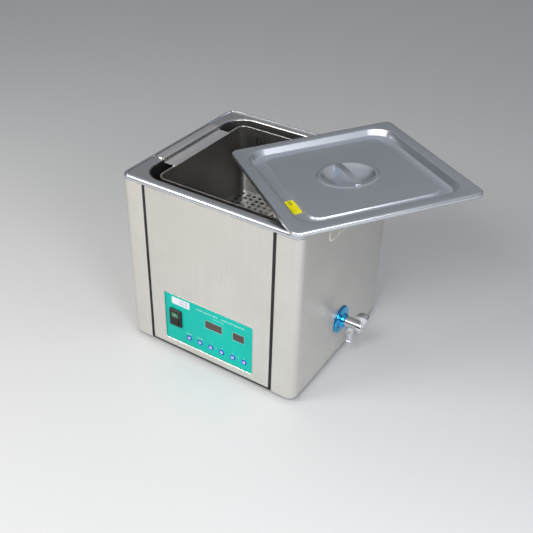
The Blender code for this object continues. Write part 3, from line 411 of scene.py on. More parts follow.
def facing_out(shape):
    bmesh.ops.recalc_face_normals(shape, faces=shape.faces)
    return shape


def closed_ring(loops):
    """A tube that closes on itself: its last loop is joined to its first."""
    return facing_out(skin(loops, ring=True))


def drill(radius, steps=48):
    """A round cutter that goes right through a sheet."""
    return turned([(radius, -0.01), (radius, 0.01)], steps)


def moved(shape, matrix):
    shape.transform(matrix)
    return shape


def merged(shapes):
    """Several shapes in one."""
    whole = bmesh.new()
    for shape in shapes:
        held = bpy.data.meshes.new("held")
        shape.to_mesh(held)
        shape.free()
        whole.from_mesh(held)
        bpy.data.meshes.remove(held)
    return whole


def at(x, y, z):
    return Matrix.Translation((x, y, z))


def out_of(side, x, y, z):
    """Turns local +Z out of a wall of the cabinet, with local +Y up, and moves it there."""
    quarter = {"front": 0, "right": 1, "back": 2, "left": -1}[side]
    return at(x, y, z) @ Matrix.Rotation(quarter * math.pi / 2, 4, "Z") @ Matrix.Rotation(math.pi / 2, 4, "X")


# %% Objects and their finishing steps
def make(name, shape, material, matrix=None):
    """An object from a shape, smooth where it is round."""
    if matrix is not None:
        shape.transform(matrix)
    mesh = bpy.data.meshes.new(name)
    shape.to_mesh(mesh)
    shape.free()
    mesh.materials.append(material)
    mesh.shade_smooth()
    mesh.set_sharp_from_angle(angle=math.radians(32))
    obj = bpy.data.objects.new(name, mesh)
    bpy.context.scene.collection.objects.link(obj)
    return obj


def baked(obj):
    """Turns the modifiers' result into the object's own plain mesh."""
    graph = bpy.context.evaluated_depsgraph_get()
    mesh = bpy.data.meshes.new_from_object(obj.evaluated_get(graph))
    mesh.name = obj.name
    obj.modifiers.clear()
    obj.data = mesh
    return obj


def thick(obj, wall):
    step = obj.modifiers.new("wall", "SOLIDIFY")
    step.thickness, step.offset, step.use_even_offset = wall, -1.0, True
    return obj


def soft_edges(obj, width, segments=2, angle=34):
    step = obj.modifiers.new("edge", "BEVEL")
    step.width, step.segments, step.limit_method = width, segments, "ANGLE"
    step.angle_limit, step.harden_normals = math.radians(angle), True
    return baked(obj)


def cut(obj, *shapes):
    """Takes each shape out of the object."""
    for shape in shapes:
        tool = make("tool", facing_out(shape), obj.data.materials[0])
        step = obj.modifiers.new("cut", "BOOLEAN")
        step.object, step.solver = tool, "EXACT"
        baked(obj)
        bpy.data.objects.remove(tool)
    return obj


def belongs(obj, body, *replaced, slot=None):
    """Says which body the piece rides on and which frame parts it stands for."""
    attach(obj, body)
    if replaced:
        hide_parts(*replaced)
    print(f"{obj.name}: {len(obj.data.polygons)} faces on {body}")
    return obj


# %% [markdown]
# ## Geometry Nodes helpers
# What repeats is made by node trees: screws, louvre hoods, weld dots, guard rings and the
# cells of the tray. The helper below makes a tree with named inputs, and its nodes are
# added with one call each. The result is turned into a plain mesh, because the pieces have
# to be ordinary meshes.


# %% Node trees
class Tree:
    """A Geometry Nodes tree with named inputs."""

    def __init__(self, name, **inputs):
        self.tree = bpy.data.node_groups.new(name, "GeometryNodeTree")
        self.tree.interface.new_socket("Geometry", in_out="INPUT", socket_type="NodeSocketGeometry")
        self.tree.interface.new_socket("Geometry", in_out="OUTPUT", socket_type="NodeSocketGeometry")
        self.values = inputs
        for label, value in inputs.items():
            kind = {float: "Float", int: "Int", tuple: "Vector", bpy.types.Object: "Object",
                    bpy.types.Material: "Material"}[type(value)]
            self.tree.interface.new_socket(label, in_out="INPUT", socket_type="NodeSocket" + kind)
        self.source = self.tree.nodes.new("NodeGroupInput")
        self.sink = self.tree.nodes.new("NodeGroupOutput")

    def given(self, label):
        return self.source.outputs[label]

    def node(self, kind, settings=None, out=0, **values):
        """Adds a node. A value is a number, a link, or a list of links; _ in a label is a space."""
        made = self.tree.nodes.new(kind)
        for label, value in (settings or {}).items():
            setattr(made, label, value)
        for label, value in values.items():
            by_number = label[0] == "i" and label[1:].isdigit()
            socket = made.inputs[int(label[1:]) if by_number else label.replace("_", " ")]
            for item in value if isinstance(value, list) else [value]:
                if isinstance(item, bpy.types.NodeSocket):
                    self.tree.links.new(item, socket)
                else:
                    socket.default_value = item
        return made.outputs[out]

    def finish(self, geometry, material):
        """Realises what was instanced, sets the material and ends the tree."""
        real = self.node("GeometryNodeRealizeInstances", Geometry=geometry)
        done = self.node("GeometryNodeSetMaterial", Geometry=real, Material=material)
        self.tree.links.new(done, self.sink.inputs[0])

    def run(self, obj):
        """Puts the tree on an object with its inputs set, and bakes the result."""
        step = obj.modifiers.new(self.tree.name, "NODES")
        step.node_group = self.tree
        for item in self.tree.interface.items_tree:
            if item.in_out == "INPUT" and item.name in self.values:
                step[item.identifier] = self.values[item.name]
        return baked(obj)


def points_object(name, points):
    """A mesh of loose points for a tree to work on."""
    mesh = bpy.data.meshes.new(name)
    mesh.from_pydata([tuple(p) for p in points], [], [])
    obj = bpy.data.objects.new(name, mesh)
    bpy.context.scene.collection.objects.link(obj)
    return obj


def on_points(name, points, part, material, spin=0.0, seed=3):
    """Copies a part onto points. Each copy is turned about its own axis by up to spin radians."""
    holder = points_object(name, points)
    tree = Tree(name, Part=part, Spin=float(spin), Seed=int(seed), Finish=material)
    shape = tree.node("GeometryNodeObjectInfo", {"transform_space": "ORIGINAL"}, 4, Object=tree.given("Part"))
    angle = tree.node("FunctionNodeRandomValue", {"data_type": "FLOAT"}, 1,
                      i3=tree.given("Spin"), Seed=tree.given("Seed"))
    turn = tree.node("ShaderNodeCombineXYZ", Z=angle)
    copies = tree.node("GeometryNodeInstanceOnPoints", Points=tree.given("Geometry"), Instance=shape)
    spun = tree.node("GeometryNodeRotateInstances", Instances=copies, Rotation=turn)
    tree.finish(spun, tree.given("Finish"))
    return tree.run(holder)

# %% [markdown]
# ## The cabinet
# The cabinet is folded from stainless sheet. A pressed frame closes the top: its outer edge
# is bent down over the shells, and its inner edge steps down to a ledge that carries the
# tank's flange. Two U-shaped shells make the sides and the front corners, and a separate
# panel closes the front between two dark joint strips.


# %% Cabinet outlines
def body_loop(inset, height):
    width, depth = WIDTH - 2 * inset, DEPTH - 2 * inset
    return rounded(width, depth, max(CORNER - inset, 0.004), height)


def top_frame():
    """Lip, outer bend, crest, small step down and inner ledge."""
    band, crest = BODY_LOW.z, RIM_BEND + RIM_LAND
    ledge = FLANGE_TOP - SHEET - GAP
    rows = [(0, band), (0, HEIGHT - RIM_BEND - 0.001)]
    rows += arc(RIM_BEND, HEIGHT - RIM_BEND, RIM_BEND, 180, 90, 10)
    inner = [(crest - 0.0003, HEIGHT), (crest + 0.0001, HEIGHT), (crest + RIM_RUN, ledge),
             (crest + 0.009, ledge)]
    rows += filleted(inner, (0.0003, 0.0006), 3)
    obj = make("top_frame_sheet", skin([body_loop(x, z) for x, z in rows]), rim_steel)
    return belongs(baked(thick(obj, SHEET)), "root", "top_frame")


top_frame()

# %% [markdown]
# The tank is one deep drawn bowl. Its wide flange lies on the frame's ledge, and the round
# bend at the opening runs all the way round. The drain hole has a strainer disc, because a
# ring or a stone that falls past the basket must not reach the valve.

# %% Tank and strainer
TANK_W, TANK_D, TANK_R = 0.316, 0.302, 0.045
TANK_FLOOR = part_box("tank")[0].z + SHEET
DRAIN_X, DRAIN_Y = 0.120, 0.002


def tank_loop(grow, height):
    return rounded(TANK_W + 2 * grow, TANK_D + 2 * grow, TANK_R + grow, height, 14)


def flange_loop(share):
    """A loop between the flange's outer edge and the opening."""
    outer = rounded(WIDTH - 0.0164, DEPTH - 0.0164, CORNER - 0.0082, FLANGE_TOP, 14)
    return [a.lerp(b, share) for a, b in zip(outer, tank_loop(0.005, FLANGE_TOP))]


def tank():
    loops = [flange_loop(share) for share in (0, 0.03, 0.5, 1)]
    loops += [tank_loop(x, z) for x, z in arc(0.004, FLANGE_TOP - 0.004, 0.004, 90, 180, 8)]
    loops.append(tank_loop(0, FLANGE_TOP - 0.006))
    loops.append(tank_loop(0, TANK_FLOOR + 0.027))
    loops += [tank_loop(x, z) for x, z in arc(-0.025, TANK_FLOOR + 0.025, 0.025, 0, -90, 10)]
    loops.append(tank_loop(-0.040, TANK_FLOOR))
    obj = baked(thick(make("tank_bowl", skin(loops, end_cap=True), tank_steel), SHEET))
    cut(obj, moved(drill(0.007, 40), at(DRAIN_X, DRAIN_Y, TANK_FLOOR)))
    return belongs(soft_edges(obj, 0.0002, 1, 60), "root", "tank")


tank()


def strainer():
    """A dished disc with a ring of holes, over the drain."""
    dish = turned([(0.0105, 0.0002), (0.011, 0.0008), (0.0085, 0.0016), (0.004, 0.0019)], 48)
    disc = make("drain_strainer", dish, rim_steel)
    holes = [moved(turned([(0.0009, -1), (0.0009, 1)], 12), at(0.0058 * math.cos(a), 0.0058 * math.sin(a), 0))
             for a in [math.pi * i / 5 for i in range(10)]]
    cut(disc, merged(holes))
    disc.data.transform(at(DRAIN_X, DRAIN_Y, TANK_FLOOR))
    return belongs(disc, "root", slot="satin_steel")


strainer()

# %% [markdown]
# Shells and panels are paths seen from above, raised to their height. The bends have a real
# inside radius, and every cut edge is softened, since a sheared edge is deburred before
# anybody may lift the box by it.

# %% Folded sheets
SHELL_LOW, SHELL_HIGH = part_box("side_shell_left")[0].z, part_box("side_shell_left")[1].z
GRIP_LOW, GRIP_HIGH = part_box("grip_cup_right")
VALVE_Y, VALVE_Z = 0.002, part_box("valve_escutcheon")[0].z + 0.028
GROOVE_X, GROOVE_HALF = 0.135, 0.003
GRIP_W, GRIP_H, GRIP_R, GRIP_Z = 0.156, 0.038, 0.013, (GRIP_LOW.z + GRIP_HIGH.z) / 2


def folded(name, path, low, high, material):
    rows = [[Vector((x, y, z)) for x, y in path] for z in (low, high)]
    return baked(thick(make(name, skin(rows, closed=False), material), SHEET))


def side_shell(side, name):
    """Front fold, front corner, side, rear corner and the edge that wraps round the back."""
    x, y, edge = HALF_W - CORNER, HALF_D - CORNER, GROOVE_X + GROOVE_HALF
    path = filleted([(edge, 0.010 - HALF_D), (edge, -HALF_D), (x - 0.002, -HALF_D)], (0.0016,), 5)
    path += arc(x, -y, CORNER, -90, 0, 12) + arc(x, y, CORNER, 0, 90, 12)
    path.append((HALF_W - 0.030, HALF_D))
    if side < 0:
        path = [(-px, py) for px, py in reversed(path)]
    obj = folded(name + "_sheet", path, SHELL_LOW, SHELL_HIGH, cabinet_steel)
    face = "right" if side > 0 else "left"
    opening = prism(GRIP_W + 2 * GAP, GRIP_H + 2 * GAP, GRIP_R + GAP, -0.01, 0.01, 8)
    tools = [moved(opening, out_of(face, side * HALF_W, 0, GRIP_Z))]
    if side > 0:
        tools.append(moved(drill(0.0103), out_of(face, HALF_W, VALVE_Y, VALVE_Z)))
    return belongs(soft_edges(cut(obj, *tools), 0.00025), "root", name)


side_shell(-1, "side_shell_left")
side_shell(1, "side_shell_right")

PANEL_LOW, PANEL_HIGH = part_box("panel_tray")
PANEL_X, PANEL_Z = (PANEL_LOW.x + PANEL_HIGH.x) / 2, (PANEL_LOW.z + PANEL_HIGH.z) / 2
PANEL_W, PANEL_H = PANEL_HIGH.x - PANEL_LOW.x, PANEL_HIGH.z - PANEL_LOW.z


def front_panel():
    edge, back = GROOVE_X - GROOVE_HALF, 0.010 - HALF_D
    path = filleted([(-edge, back), (-edge, -HALF_D), (edge, -HALF_D), (edge, back)], (0.0016, 0.0016), 5)
    obj = folded("front_panel_sheet", path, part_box("front_panel")[0].z, SHELL_HIGH, cabinet_steel)
    window = prism(PANEL_W + 2 * GAP, PANEL_H + 2 * GAP, 0.002, -0.01, 0.01)
    cut(obj, moved(window, out_of("front", PANEL_X, -HALF_D, PANEL_Z)))
    return belongs(soft_edges(obj, 0.00025), "root", "front_panel")


front_panel()

# %% [markdown]
# The back carries the fan, the mains inlet and two banks of louvres that let the warm air
# out. A hood is pressed behind each slot, so that nothing can be pushed straight in. The
# hoods and the screws are one small mesh each, set out by a node tree.

# %% Back panel
FAN_X, FAN_Z, FAN_BORE = 0.085, 0.085, 0.038
INLET_X, INLET_Z, INLET_W, INLET_H = -0.105, 0.070, 0.0265, 0.0465
VENT_ROWS = [(side * 0.060, 0.24675 + 0.009 * row) for side in (-1, 1) for row in range(6)]


def back_panel():
    edge = HALF_W - 0.030 - GAP
    path = filleted([(edge, HALF_D - 0.010), (edge, HALF_D), (-edge, HALF_D), (-edge, HALF_D - 0.010)],
                    (0.0016, 0.0016), 5)
    obj = folded("back_panel_sheet", path, SHELL_LOW, SHELL_HIGH, cabinet_steel)
    tools = [moved(drill(FAN_BORE, 72), out_of("back", FAN_X, HALF_D, FAN_Z))]
    inlet = prism(INLET_W + 2 * GAP, INLET_H + 2 * GAP, 0.002, -0.01, 0.01)
    tools.append(moved(inlet, out_of("back", INLET_X, HALF_D, INLET_Z)))
    for x, z in VENT_ROWS:
        tools.append(moved(prism(0.060, 0.0035, 0.0017, -0.01, 0.01), out_of("back", x, HALF_D, z)))
    return belongs(soft_edges(cut(obj, *tools), 0.0002), "root", "back_panel")


back_panel()


def hidden(obj):
    """A part that only the node trees copy: it leaves the scene."""
    bpy.context.scene.collection.objects.unlink(obj)
    return obj


def louvre_hood():
    """A quarter round hood behind a slot, closed at its ends."""
    rows = []
    for share, lift in ((-1, 0.25), (-0.97, 0.8), (-0.94, 1), (0.94, 1), (0.97, 0.8), (1, 0.25)):
        reach = 0.0052 * lift
        angles = [math.pi / 2 * i / 8 for i in range(9)]
        bend = [(HALF_D - 0.0013 - reach * math.sin(a), 0.0022 - reach * (1 - math.cos(a))) for a in angles]
        rows.append([Vector((0.0315 * share, y, z)) for y, z in bend])
    hood = make("louvre_hood", facing_out(skin(rows, closed=False)), cabinet_steel)
    return hidden(baked(thick(hood, 0.0006)))


hoods = on_points("louvre_hoods", [(x, 0, z) for x, z in VENT_ROWS], louvre_hood(), cabinet_steel)
belongs(hoods, "root", slot="cabinet_steel")

# %% [markdown]
# A pan head screw has a domed head and a crossed recess. One is modelled, then copied to
# every hole, and each copy is turned by a random amount, the way a driver leaves them.


# %% Screws
def pan_head(name, radius, height):
    """A domed head with a cross cut into it, standing on local z = 0."""
    dome = [(radius * across_share, height * up) for across_share, up in
            ((1, 0), (1, 0.35), (0.93, 0.62), (0.75, 0.84), (0.45, 0.97), (0.12, 1))]
    obj = make(name, turned(dome, 28), chrome)
    arm, half = 0.58 * radius, 0.13 * radius
    slots = [prism(2 * a, 2 * b, 0.2 * half, 0.45 * height, 2 * height, 1)
             for a, b in ((arm, half), (half, arm))]
    return hidden(cut(obj, *slots))


def screws(name, places, head, wall, seed):
    """Heads on a wall: the copies are made lying flat, then the whole set is stood up."""
    obj = on_points(name, [(x, y, 0) for x, y in places], head, chrome, math.pi / 2, seed)
    obj.data.transform(wall)
    return belongs(obj, "root", slot="chrome")


case_head = pan_head("case_head", 0.0030, 0.0017)
edge_x = HALF_W - 0.036
case_places = [(side * edge_x, z) for side in (-1, 1) for z in (0.020, 0.120, 0.225, 0.325)]
screws("back_screws", case_places, case_head, out_of("back", 0, HALF_D, 0), 7)

# %% [markdown]
# Rubber feet are moulded cups with a bead at the bottom, and a washer and a screw inside, which are not made
# here.


# %% Feet
def foot():
    reach, tall = 0.015, 0.010
    outside = [(0.0055, -tall + 0.004), (0.006, -tall + 0.0006), (0.0072, -tall), (reach - 0.0035, -tall),
               (reach - 0.002, -tall + 0.0005), (reach - 0.0008, -tall + 0.0018), (reach - 0.0006, -0.0030),
               (reach, -0.0022), (reach, -0.0010), (reach - 0.0006, -GAP)]
    return turned(outside, 48)


feet = [moved(foot(), at(x, y, 0)) for x in (-0.150, 0.150) for y in (-0.137, 0.137)]
belongs(make("rubber_feet", merged(feet), black_rubber), "root", "foot_front_left", "foot_front_right",
        "foot_rear_left", "foot_rear_right")

# %% [markdown]
# A finger pocket is pressed into each side just under the rim. Its lip covers the edge of
# the sheet, and the bends inside are generous because a hand carries the full weight there.


# %% Grips
def grip(side, name):
    inner = (GRIP_W - 2 * SHEET, GRIP_H - 2 * SHEET, GRIP_R - SHEET)
    out, deep = 0.0022, -0.018
    rows = [(GRIP_W - 0.008, GRIP_H - 0.008, GRIP_R - 0.004, deep), (GRIP_W, GRIP_H, GRIP_R, deep + 0.004),
            (GRIP_W, GRIP_H, GRIP_R, GAP), (GRIP_W + 2 * out, GRIP_H + 2 * out, GRIP_R + out, GAP),
            (GRIP_W + 2 * out, GRIP_H + 2 * out, GRIP_R + out, GAP + 0.0006)]
    lip = [(share, GAP + 0.0006 + 0.0006 * math.sin(math.pi * share / 2)) for share in (0.25, 0.5, 0.75, 1)]
    for share, height in lip:
        grow = out * (1 - share) - SHEET * share
        rows.append((GRIP_W + 2 * grow, GRIP_H + 2 * grow, GRIP_R + grow, height))
    for x, z in arc(-0.0012, GAP, 0.0012, 90, 0, 4)[1:]:
        rows.append((inner[0] - 2 * x, inner[1] - 2 * x, inner[2] - x, z))
    rows.append((*inner, deep + 0.0062))
    for x, z in arc(-0.005, deep + 0.0062, 0.005, 0, -90, 7)[1:]:
        rows.append((inner[0] + 2 * x, inner[1] + 2 * x, max(inner[2] + x, 0.004), z))
    shape = solid([rounded(*row, 9) for row in rows])
    face = "right" if side > 0 else "left"
    obj = make(name + "_cup", facing_out(shape), cup_cream, out_of(face, side * HALF_W, 0, GRIP_Z))
    return belongs(obj, "root", name)


grip(-1, "grip_cup_left")
grip(1, "grip_cup_right")

# %% [markdown]
# ## The key panel
# A folded tray lines the opening in the front sheet; its lighter steel is a painted highlight.
# The panel plate lies in it under a printed film. Everything on the panel is placed from the
# centre of the part it stands for, in a local frame whose z points out of the front and whose y points up.


# %% Front frame and plate
def middle(node):
    low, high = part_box(node)
    return (low + high) / 2


def size(node):
    low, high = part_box(node)
    return high - low


def on_front(shape, x, z, out=0.0):
    return moved(shape, out_of("front", x, -HALF_D - out, z))


PLATE_FACE = -0.0025
KEYS = [f"key_{i}" for i in range(1, 7)]
KEY_R, KEY_Z = size("key_1").x / 2, middle("key_1").z
SWITCH_W, SWITCH_H = size("switch_bezel").x, size("switch_bezel").z
SWITCH_X, SWITCH_Z = middle("switch_bezel").x, middle("switch_bezel").z


def panel_tray():
    rows = [(0, -0.0003), (0.0002, 0), (0.0010, 0), (0.0012, -0.0002), (0.0012, -0.0043),
            (0.0042, -0.0043), (0.0042, -0.0055), (0, -0.0055)]
    loops = [rounded(PANEL_W - 2 * x, PANEL_H - 2 * x, 0.0017, z, 6) for x, z in rows]
    shape = on_front(closed_ring(loops), PANEL_X, PANEL_Z)
    # The tray's lighter steel is a painted highlight on its ledge.
    obj = make("panel_tray_frame", shape, bright_edge)
    return belongs(obj, "root", "panel_tray")


panel_tray()


def panel_plate():
    trim = 2 * (SHEET + GAP)
    shape = prism(PANEL_W - trim, PANEL_H - trim, 0.001, PLATE_FACE - 0.0015, PLATE_FACE)
    obj = make("panel_film_plate", on_front(shape, PANEL_X, PANEL_Z), panel_film)
    tools = []
    for key in KEYS:
        tools.append(on_front(drill(KEY_R + GAP, 40), middle(key).x, KEY_Z))
    for node in ("display_left", "display_right"):
        hole = prism(size(node).x + 2 * GAP, size(node).z + 2 * GAP, 0.0008, -0.01, 0.01)
        tools.append(on_front(hole, middle(node).x, middle(node).z))
    neck = prism(SWITCH_W - 0.0034, SWITCH_H - 0.0034, 0.0015, -0.01, 0.01)
    tools.append(on_front(neck, SWITCH_X, SWITCH_Z))
    return belongs(soft_edges(cut(obj, *tools), 0.00015), "root", "control_panel")


panel_plate()

# %% [markdown]
# Printed marks are thin raised ink. Words are drawn as rows of bars, with random lengths from
# a fixed seed, so that they read as lettering from a step away and say nothing close up.


# %% Printed bars
class Chance:
    """A small repeatable source of random numbers."""

    def __init__(self, seed):
        self.state = seed

    def between(self, low, high):
        self.state = (self.state * 1103515245 + 12345) % 2**31
        return low + (high - low) * self.state / 2**31


def words(x0, x1, y, height, seed, stroke=0.62):
    """Bars like letters, in words, from x0 to x1 along the line y."""
    chance, x, bars = Chance(seed), x0, []
    letter = height * stroke
    left = 5
    while x + letter < x1:
        wide = letter * chance.between(0.55, 1.0)
        bars.append((x, y - height / 2, x + wide, y + height / 2))
        x += wide + 0.30 * letter
        left -= 1
        if left < 0:
            left = int(chance.between(3, 8))
            x += 0.8 * letter
    return bars


def letter_shape(x0, y0, x1, y1, low, high):
    """A blocky letter: two uprights and a crossbar, so that it doesn't read as a solid bar."""
    pen = 0.36 * min(x1 - x0, y1 - y0)
    tall, mid = y1 - y0, (x1 + x0) / 2
    strokes = [(x0 + pen / 2, (y0 + y1) / 2, pen, tall), (mid, y1 - pen / 2, x1 - x0, pen),
               (mid, y0 + 0.45 * tall, x1 - x0, pen)]
    return [moved(prism(w, h, 0.1 * pen, low, high, 1), at(x, y, 0)) for x, y, w, h in strokes]


INK_LOW, INK_HIGH = PLATE_FACE + 0.00002, PLATE_FACE + 0.00008


def printed(name, bars, material, out=0.0, letters=True):
    shapes = []
    for bar in bars:
        if letters:
            shapes += letter_shape(*bar, INK_LOW + out, INK_HIGH + out)
        else:
            x0, y0, x1, y1 = bar
            shapes.append(moved(prism(x1 - x0, y1 - y0, 0.0002, INK_LOW + out, INK_HIGH + out, 2),
                                at((x0 + x1) / 2, (y0 + y1) / 2, 0)))
    obj = make(name, on_front(merged(shapes), 0, 0), material)
    return belongs(obj, "root", slot="panel_green")


title = words(-0.028, 0.020, 0.1155, 0.0036, 11) + words(0.028, 0.078, 0.1155, 0.0036, 12)
captions = []
for number, key in enumerate(KEYS[:2]):
    x = middle(key).x
    for line in (0.0108, 0.0086):
        captions += words(x - 0.0062, x + 0.0068, KEY_Z + line, 0.0014, 20 + number, 0.7)
for left, right in (KEYS[2:4], KEYS[4:6]):
    low, high = middle(left).x, middle(right).x
    captions += words((low + high) / 2 - 0.0022, (low + high) / 2 + 0.0026, KEY_Z + 0.0052, 0.0020, 51)
    captions += [(low - 0.0012, KEY_Z + 0.0080, low + 0.0016, KEY_Z + 0.0094)]
    captions += [(high - 0.0016, KEY_Z + 0.0080, high + 0.0012, KEY_Z + 0.0094)]
captions += words(0.0090, 0.0330, 0.1085, 0.0018, 54)
printed("panel_title", title, print_ink)
printed("panel_captions", captions, print_ink)
printed("blank_label", [(-0.0855, 0.1062, -0.0445, 0.1222)], white_ink, letters=False)
label_marks = words(-0.068, -0.047, 0.1170, 0.0030, 61) + words(-0.068, -0.047, 0.1112, 0.0030, 63)
printed("blank_label_bars", label_marks, pale_print, 0.00007)

# %% [markdown]
# Each readout is a dark window with a pale printed border. It shows zeros, each made of six
# bars with mitred ends. They are dim, as red digits are behind smoked film when the power is off.

# %% Displays
DISPLAY_Z, DISPLAY_H = middle("display_left").z, size("display_left").z


def zero(x, y, width, height):
    """The six bars of a zero centred on x, y, leaning a little."""
    pen, gap = 0.15 * width * 1.25, 0.035 * width
    w, h = width / 2 - pen / 2, height / 4
    places = [(0, 2 * h, 0), (w, h, 1), (w, -h, 1), (0, -2 * h, 0), (-w, -h, 1), (-w, h, 1)]
    lean = Matrix(((1, 0.12, 0, 0), (0, 1, 0, 0), (0, 0, 1, 0), (0, 0, 0, 1)))
    shapes = []
    for sx, sy, upright in places:
        half = (h if upright else w) - gap
        outline = [(-half, 0), (-half + pen / 2, -pen / 2), (half - pen / 2, -pen / 2), (half, 0),
                   (half - pen / 2, pen / 2), (-half + pen / 2, pen / 2)]
        loops = [[Vector((px, py, z)) for px, py in outline] for z in (0, 0.00006)]
        turn = Matrix.Rotation(math.pi / 2 * upright, 4, "Z")
        shapes.append(moved(solid(loops), at(x, y, 0) @ lean @ at(sx, sy, 0) @ turn))
    return shapes


def display(node, digits):
    x, width = middle(node).x, size(node).x
    low = -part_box(node)[1].y - HALF_D
    face = -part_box(node)[0].y - HALF_D
    glass = on_front(prism(width, DISPLAY_H, 0.0006, low, face, 4), x, DISPLAY_Z)
    belongs(soft_edges(make(node + "_window", glass, display_glass), 0.0001), "root", node)
    pitch = (width - 0.007) / digits
    shapes = []
    for i in range(digits):
        along = (i - (digits - 1) / 2) * pitch
        shapes += zero(along, 0, 0.0052, 0.0102)
        shapes.append(moved(turned([(0.00045, 0), (0.00045, 0.00006)], 12), at(along + 0.0036, -0.0049, 0)))
    figures = on_front(merged(shapes), x, DISPLAY_Z, face + 0.00001)
    belongs(make(node + "_figures", figures, segment_red), "root", slot="display_glass")
    rows = [(0.0006, 0), (0.0014, 0), (0.0014, 0.00006), (0.0006, 0.00006)]
    loops = [rounded(width + grow, grow + DISPLAY_H, 0.0008, z, 4) for grow, z in rows]
    border = on_front(closed_ring(loops), x, DISPLAY_Z, INK_LOW)
    border = make(node + "_border", border, print_ink)
    belongs(border, "root", slot="panel_green")


display("display_left", 4)
display("display_right", 3)

# %% [markdown]
# Six keys are domes in the film. Each is blue with a pale symbol, and each is its own moving
# body, so its symbol rides with it.


# %% Keys
def key_symbol(kind):
    """A simple mark: a triangle up or down, a ring or a plus."""
    high = 0.00008
    if kind in ("up", "down"):
        flip = 1 if kind == "up" else -1
        outline = [(-0.0017, -0.0010 * flip), (0.0017, -0.0010 * flip), (0, 0.0019 * flip)]
        loops = [[Vector((x, y, z)) for x, y in (outline if flip > 0 else outline[::-1])] for z in (0, high)]
        return [solid(loops)]
    if kind == "ring":
        rows = [(0.0012, 0), (0.0019, 0), (0.0019, high), (0.0012, high)]
        return [closed_ring([circle(r, z, 28) for r, z in rows])]
    return [prism(w, h, 0.0001, 0, high, 1) for w, h in ((0.0036, 0.0008), (0.0008, 0.0036))]


KEY_TOP = -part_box("key_1")[0].y - HALF_D
for key, kind in zip(KEYS, ("ring", "up", "down", "up", "down", "plus")):
    x, body = middle(key).x, key.replace("_", "")
    dome = [(KEY_R, -0.0055), (KEY_R, KEY_TOP - 0.0005), (KEY_R - 0.0002, KEY_TOP - 0.0002),
            (KEY_R - 0.0006, KEY_TOP), (KEY_R - 0.0012, KEY_TOP - 0.00004), (0.0010, KEY_TOP - 0.00010)]
    belongs(make(key + "_dome", on_front(turned(dome, 48), x, KEY_Z), key_blue), body, key)
    disc = [(0.0030, KEY_TOP - 0.0004), (0.0030, KEY_TOP - 0.00006), (0.0027, KEY_TOP - 0.00003)]
    belongs(make(key + "_disc", on_front(turned(disc, 40), x, KEY_Z), white_ink), body, slot="key_blue")
    mark = merged(key_symbol(kind))
    belongs(make(key + "_mark", on_front(mark, x, KEY_Z, KEY_TOP - 0.00009), key_blue), body, slot="key_blue")

# %% [markdown]
# The mains switch is a rocker in a black snap-in bezel. The rocker is translucent green; its
# green is drawn only on the lit upper half, and the black of the lower half is painted shade.
# At rest the top is pressed in, which is the off position here.


# %% Rocker switch
def switch_bezel():
    wide, tall = SWITCH_W, SWITCH_H
    hole = (size("switch_rocker").x + 2 * GAP, 0.0290)
    outside = [(0, 0.0025, GAP), (0, 0.0025, 0.0020), (-0.0005, 0.0023, 0.0029),
               (-0.0016, 0.0020, 0.0037), (-0.003, 0.0015, 0.0042)]
    rows = [(wide + grow, tall + grow, radius, z) for grow, radius, z in outside]
    inside = [(0.0012, 0.0012, 0.0042), (0.0003, 0.0009, 0.0039), (0, 0.0008, 0.0032), (0, 0.0008, -0.012)]
    rows += [(hole[0] + grow, hole[1] + grow, radius, z) for grow, radius, z in inside]
    rows += [(wide - 0.004, tall - 0.004, 0.0012, z) for z in (-0.012, GAP)]
    loops = [rounded(w, h, r, z + PLATE_FACE, 6) for w, h, r, z in rows]
    shape = on_front(closed_ring(loops), SWITCH_X, SWITCH_Z)
    obj = make("switch_bezel_frame", shape, black_plastic)
    return belongs(obj, "root", "switch_bezel")


switch_bezel()
ROCKER_R, ROCKER_TILT = 0.0142, math.radians(9.0)
PIVOT = at(SWITCH_X, -HALF_D - PLATE_FACE, SWITCH_Z) @ Matrix.Rotation(math.pi / 2 - ROCKER_TILT, 4, "X")


def across(outline, half, soften=0.0004):
    """An outline of (y, z) points drawn out along x, with rounded ends."""
    rows = [(-half, 0.9), (-half + soften * 0.3, 0.35), (-half + soften, 0)]
    rows += [(-x, inset) for x, inset in reversed(rows)]
    cy = sum(y for y, z in outline) / len(outline)
    cz = sum(z for y, z in outline) / len(outline)
    loops = []
    for x, inset in rows:
        loop = []
        for y, z in outline:
            pull = Vector((cy - y, cz - z)).normalized() * soften * inset
            loop.append(Vector((x, y + pull.x, z + pull.y)))
        loops.append(loop)
    return facing_out(solid(loops))


def rocker():
    side = arc(0, 0, ROCKER_R, -20, 24, 10) + [(0.0125, 0.00615), (0.0118, 0.0061)]
    face = filleted([side[-1], (0, 0.0036), (-side[-1][0], side[-1][1])], (0.02,), 8)
    outline = side[:-1] + face + [(-y, z) for y, z in reversed(side[:-1])]
    # The cap's black, where the green pad leaves it bare, is painted shade.
    obj = make("rocker_cap", moved(across(outline, size("switch_rocker").x / 2), PIVOT), black_plastic)
    belongs(obj, "rocker", "switch_rocker")


rocker()


FACE_SLOPE = 0.2132


def face_height(y):
    """Height of the rocker's dished face at a distance from its middle."""
    return 0.0036 + max(abs(y) - 0.0016, 0) * FACE_SLOPE + 0.00002


def face_patch(name, width, y0, y1, lift, material, steps=10):
    """A thin pad that follows the rocker's face from y0 to y1."""
    rows = []
    for i in range(steps + 1):
        y = y0 + (y1 - y0) * i / steps
        z = face_height(y)
        rows.append([Vector((-width / 2, y, z)), Vector((width / 2, y, z)),
                     Vector((width / 2, y, z + lift)), Vector((-width / 2, y, z + lift))])
    obj = make(name, moved(facing_out(solid(rows)), PIVOT), material)
    return belongs(soft_edges(obj, 0.0001), "rocker", slot="black_plastic")
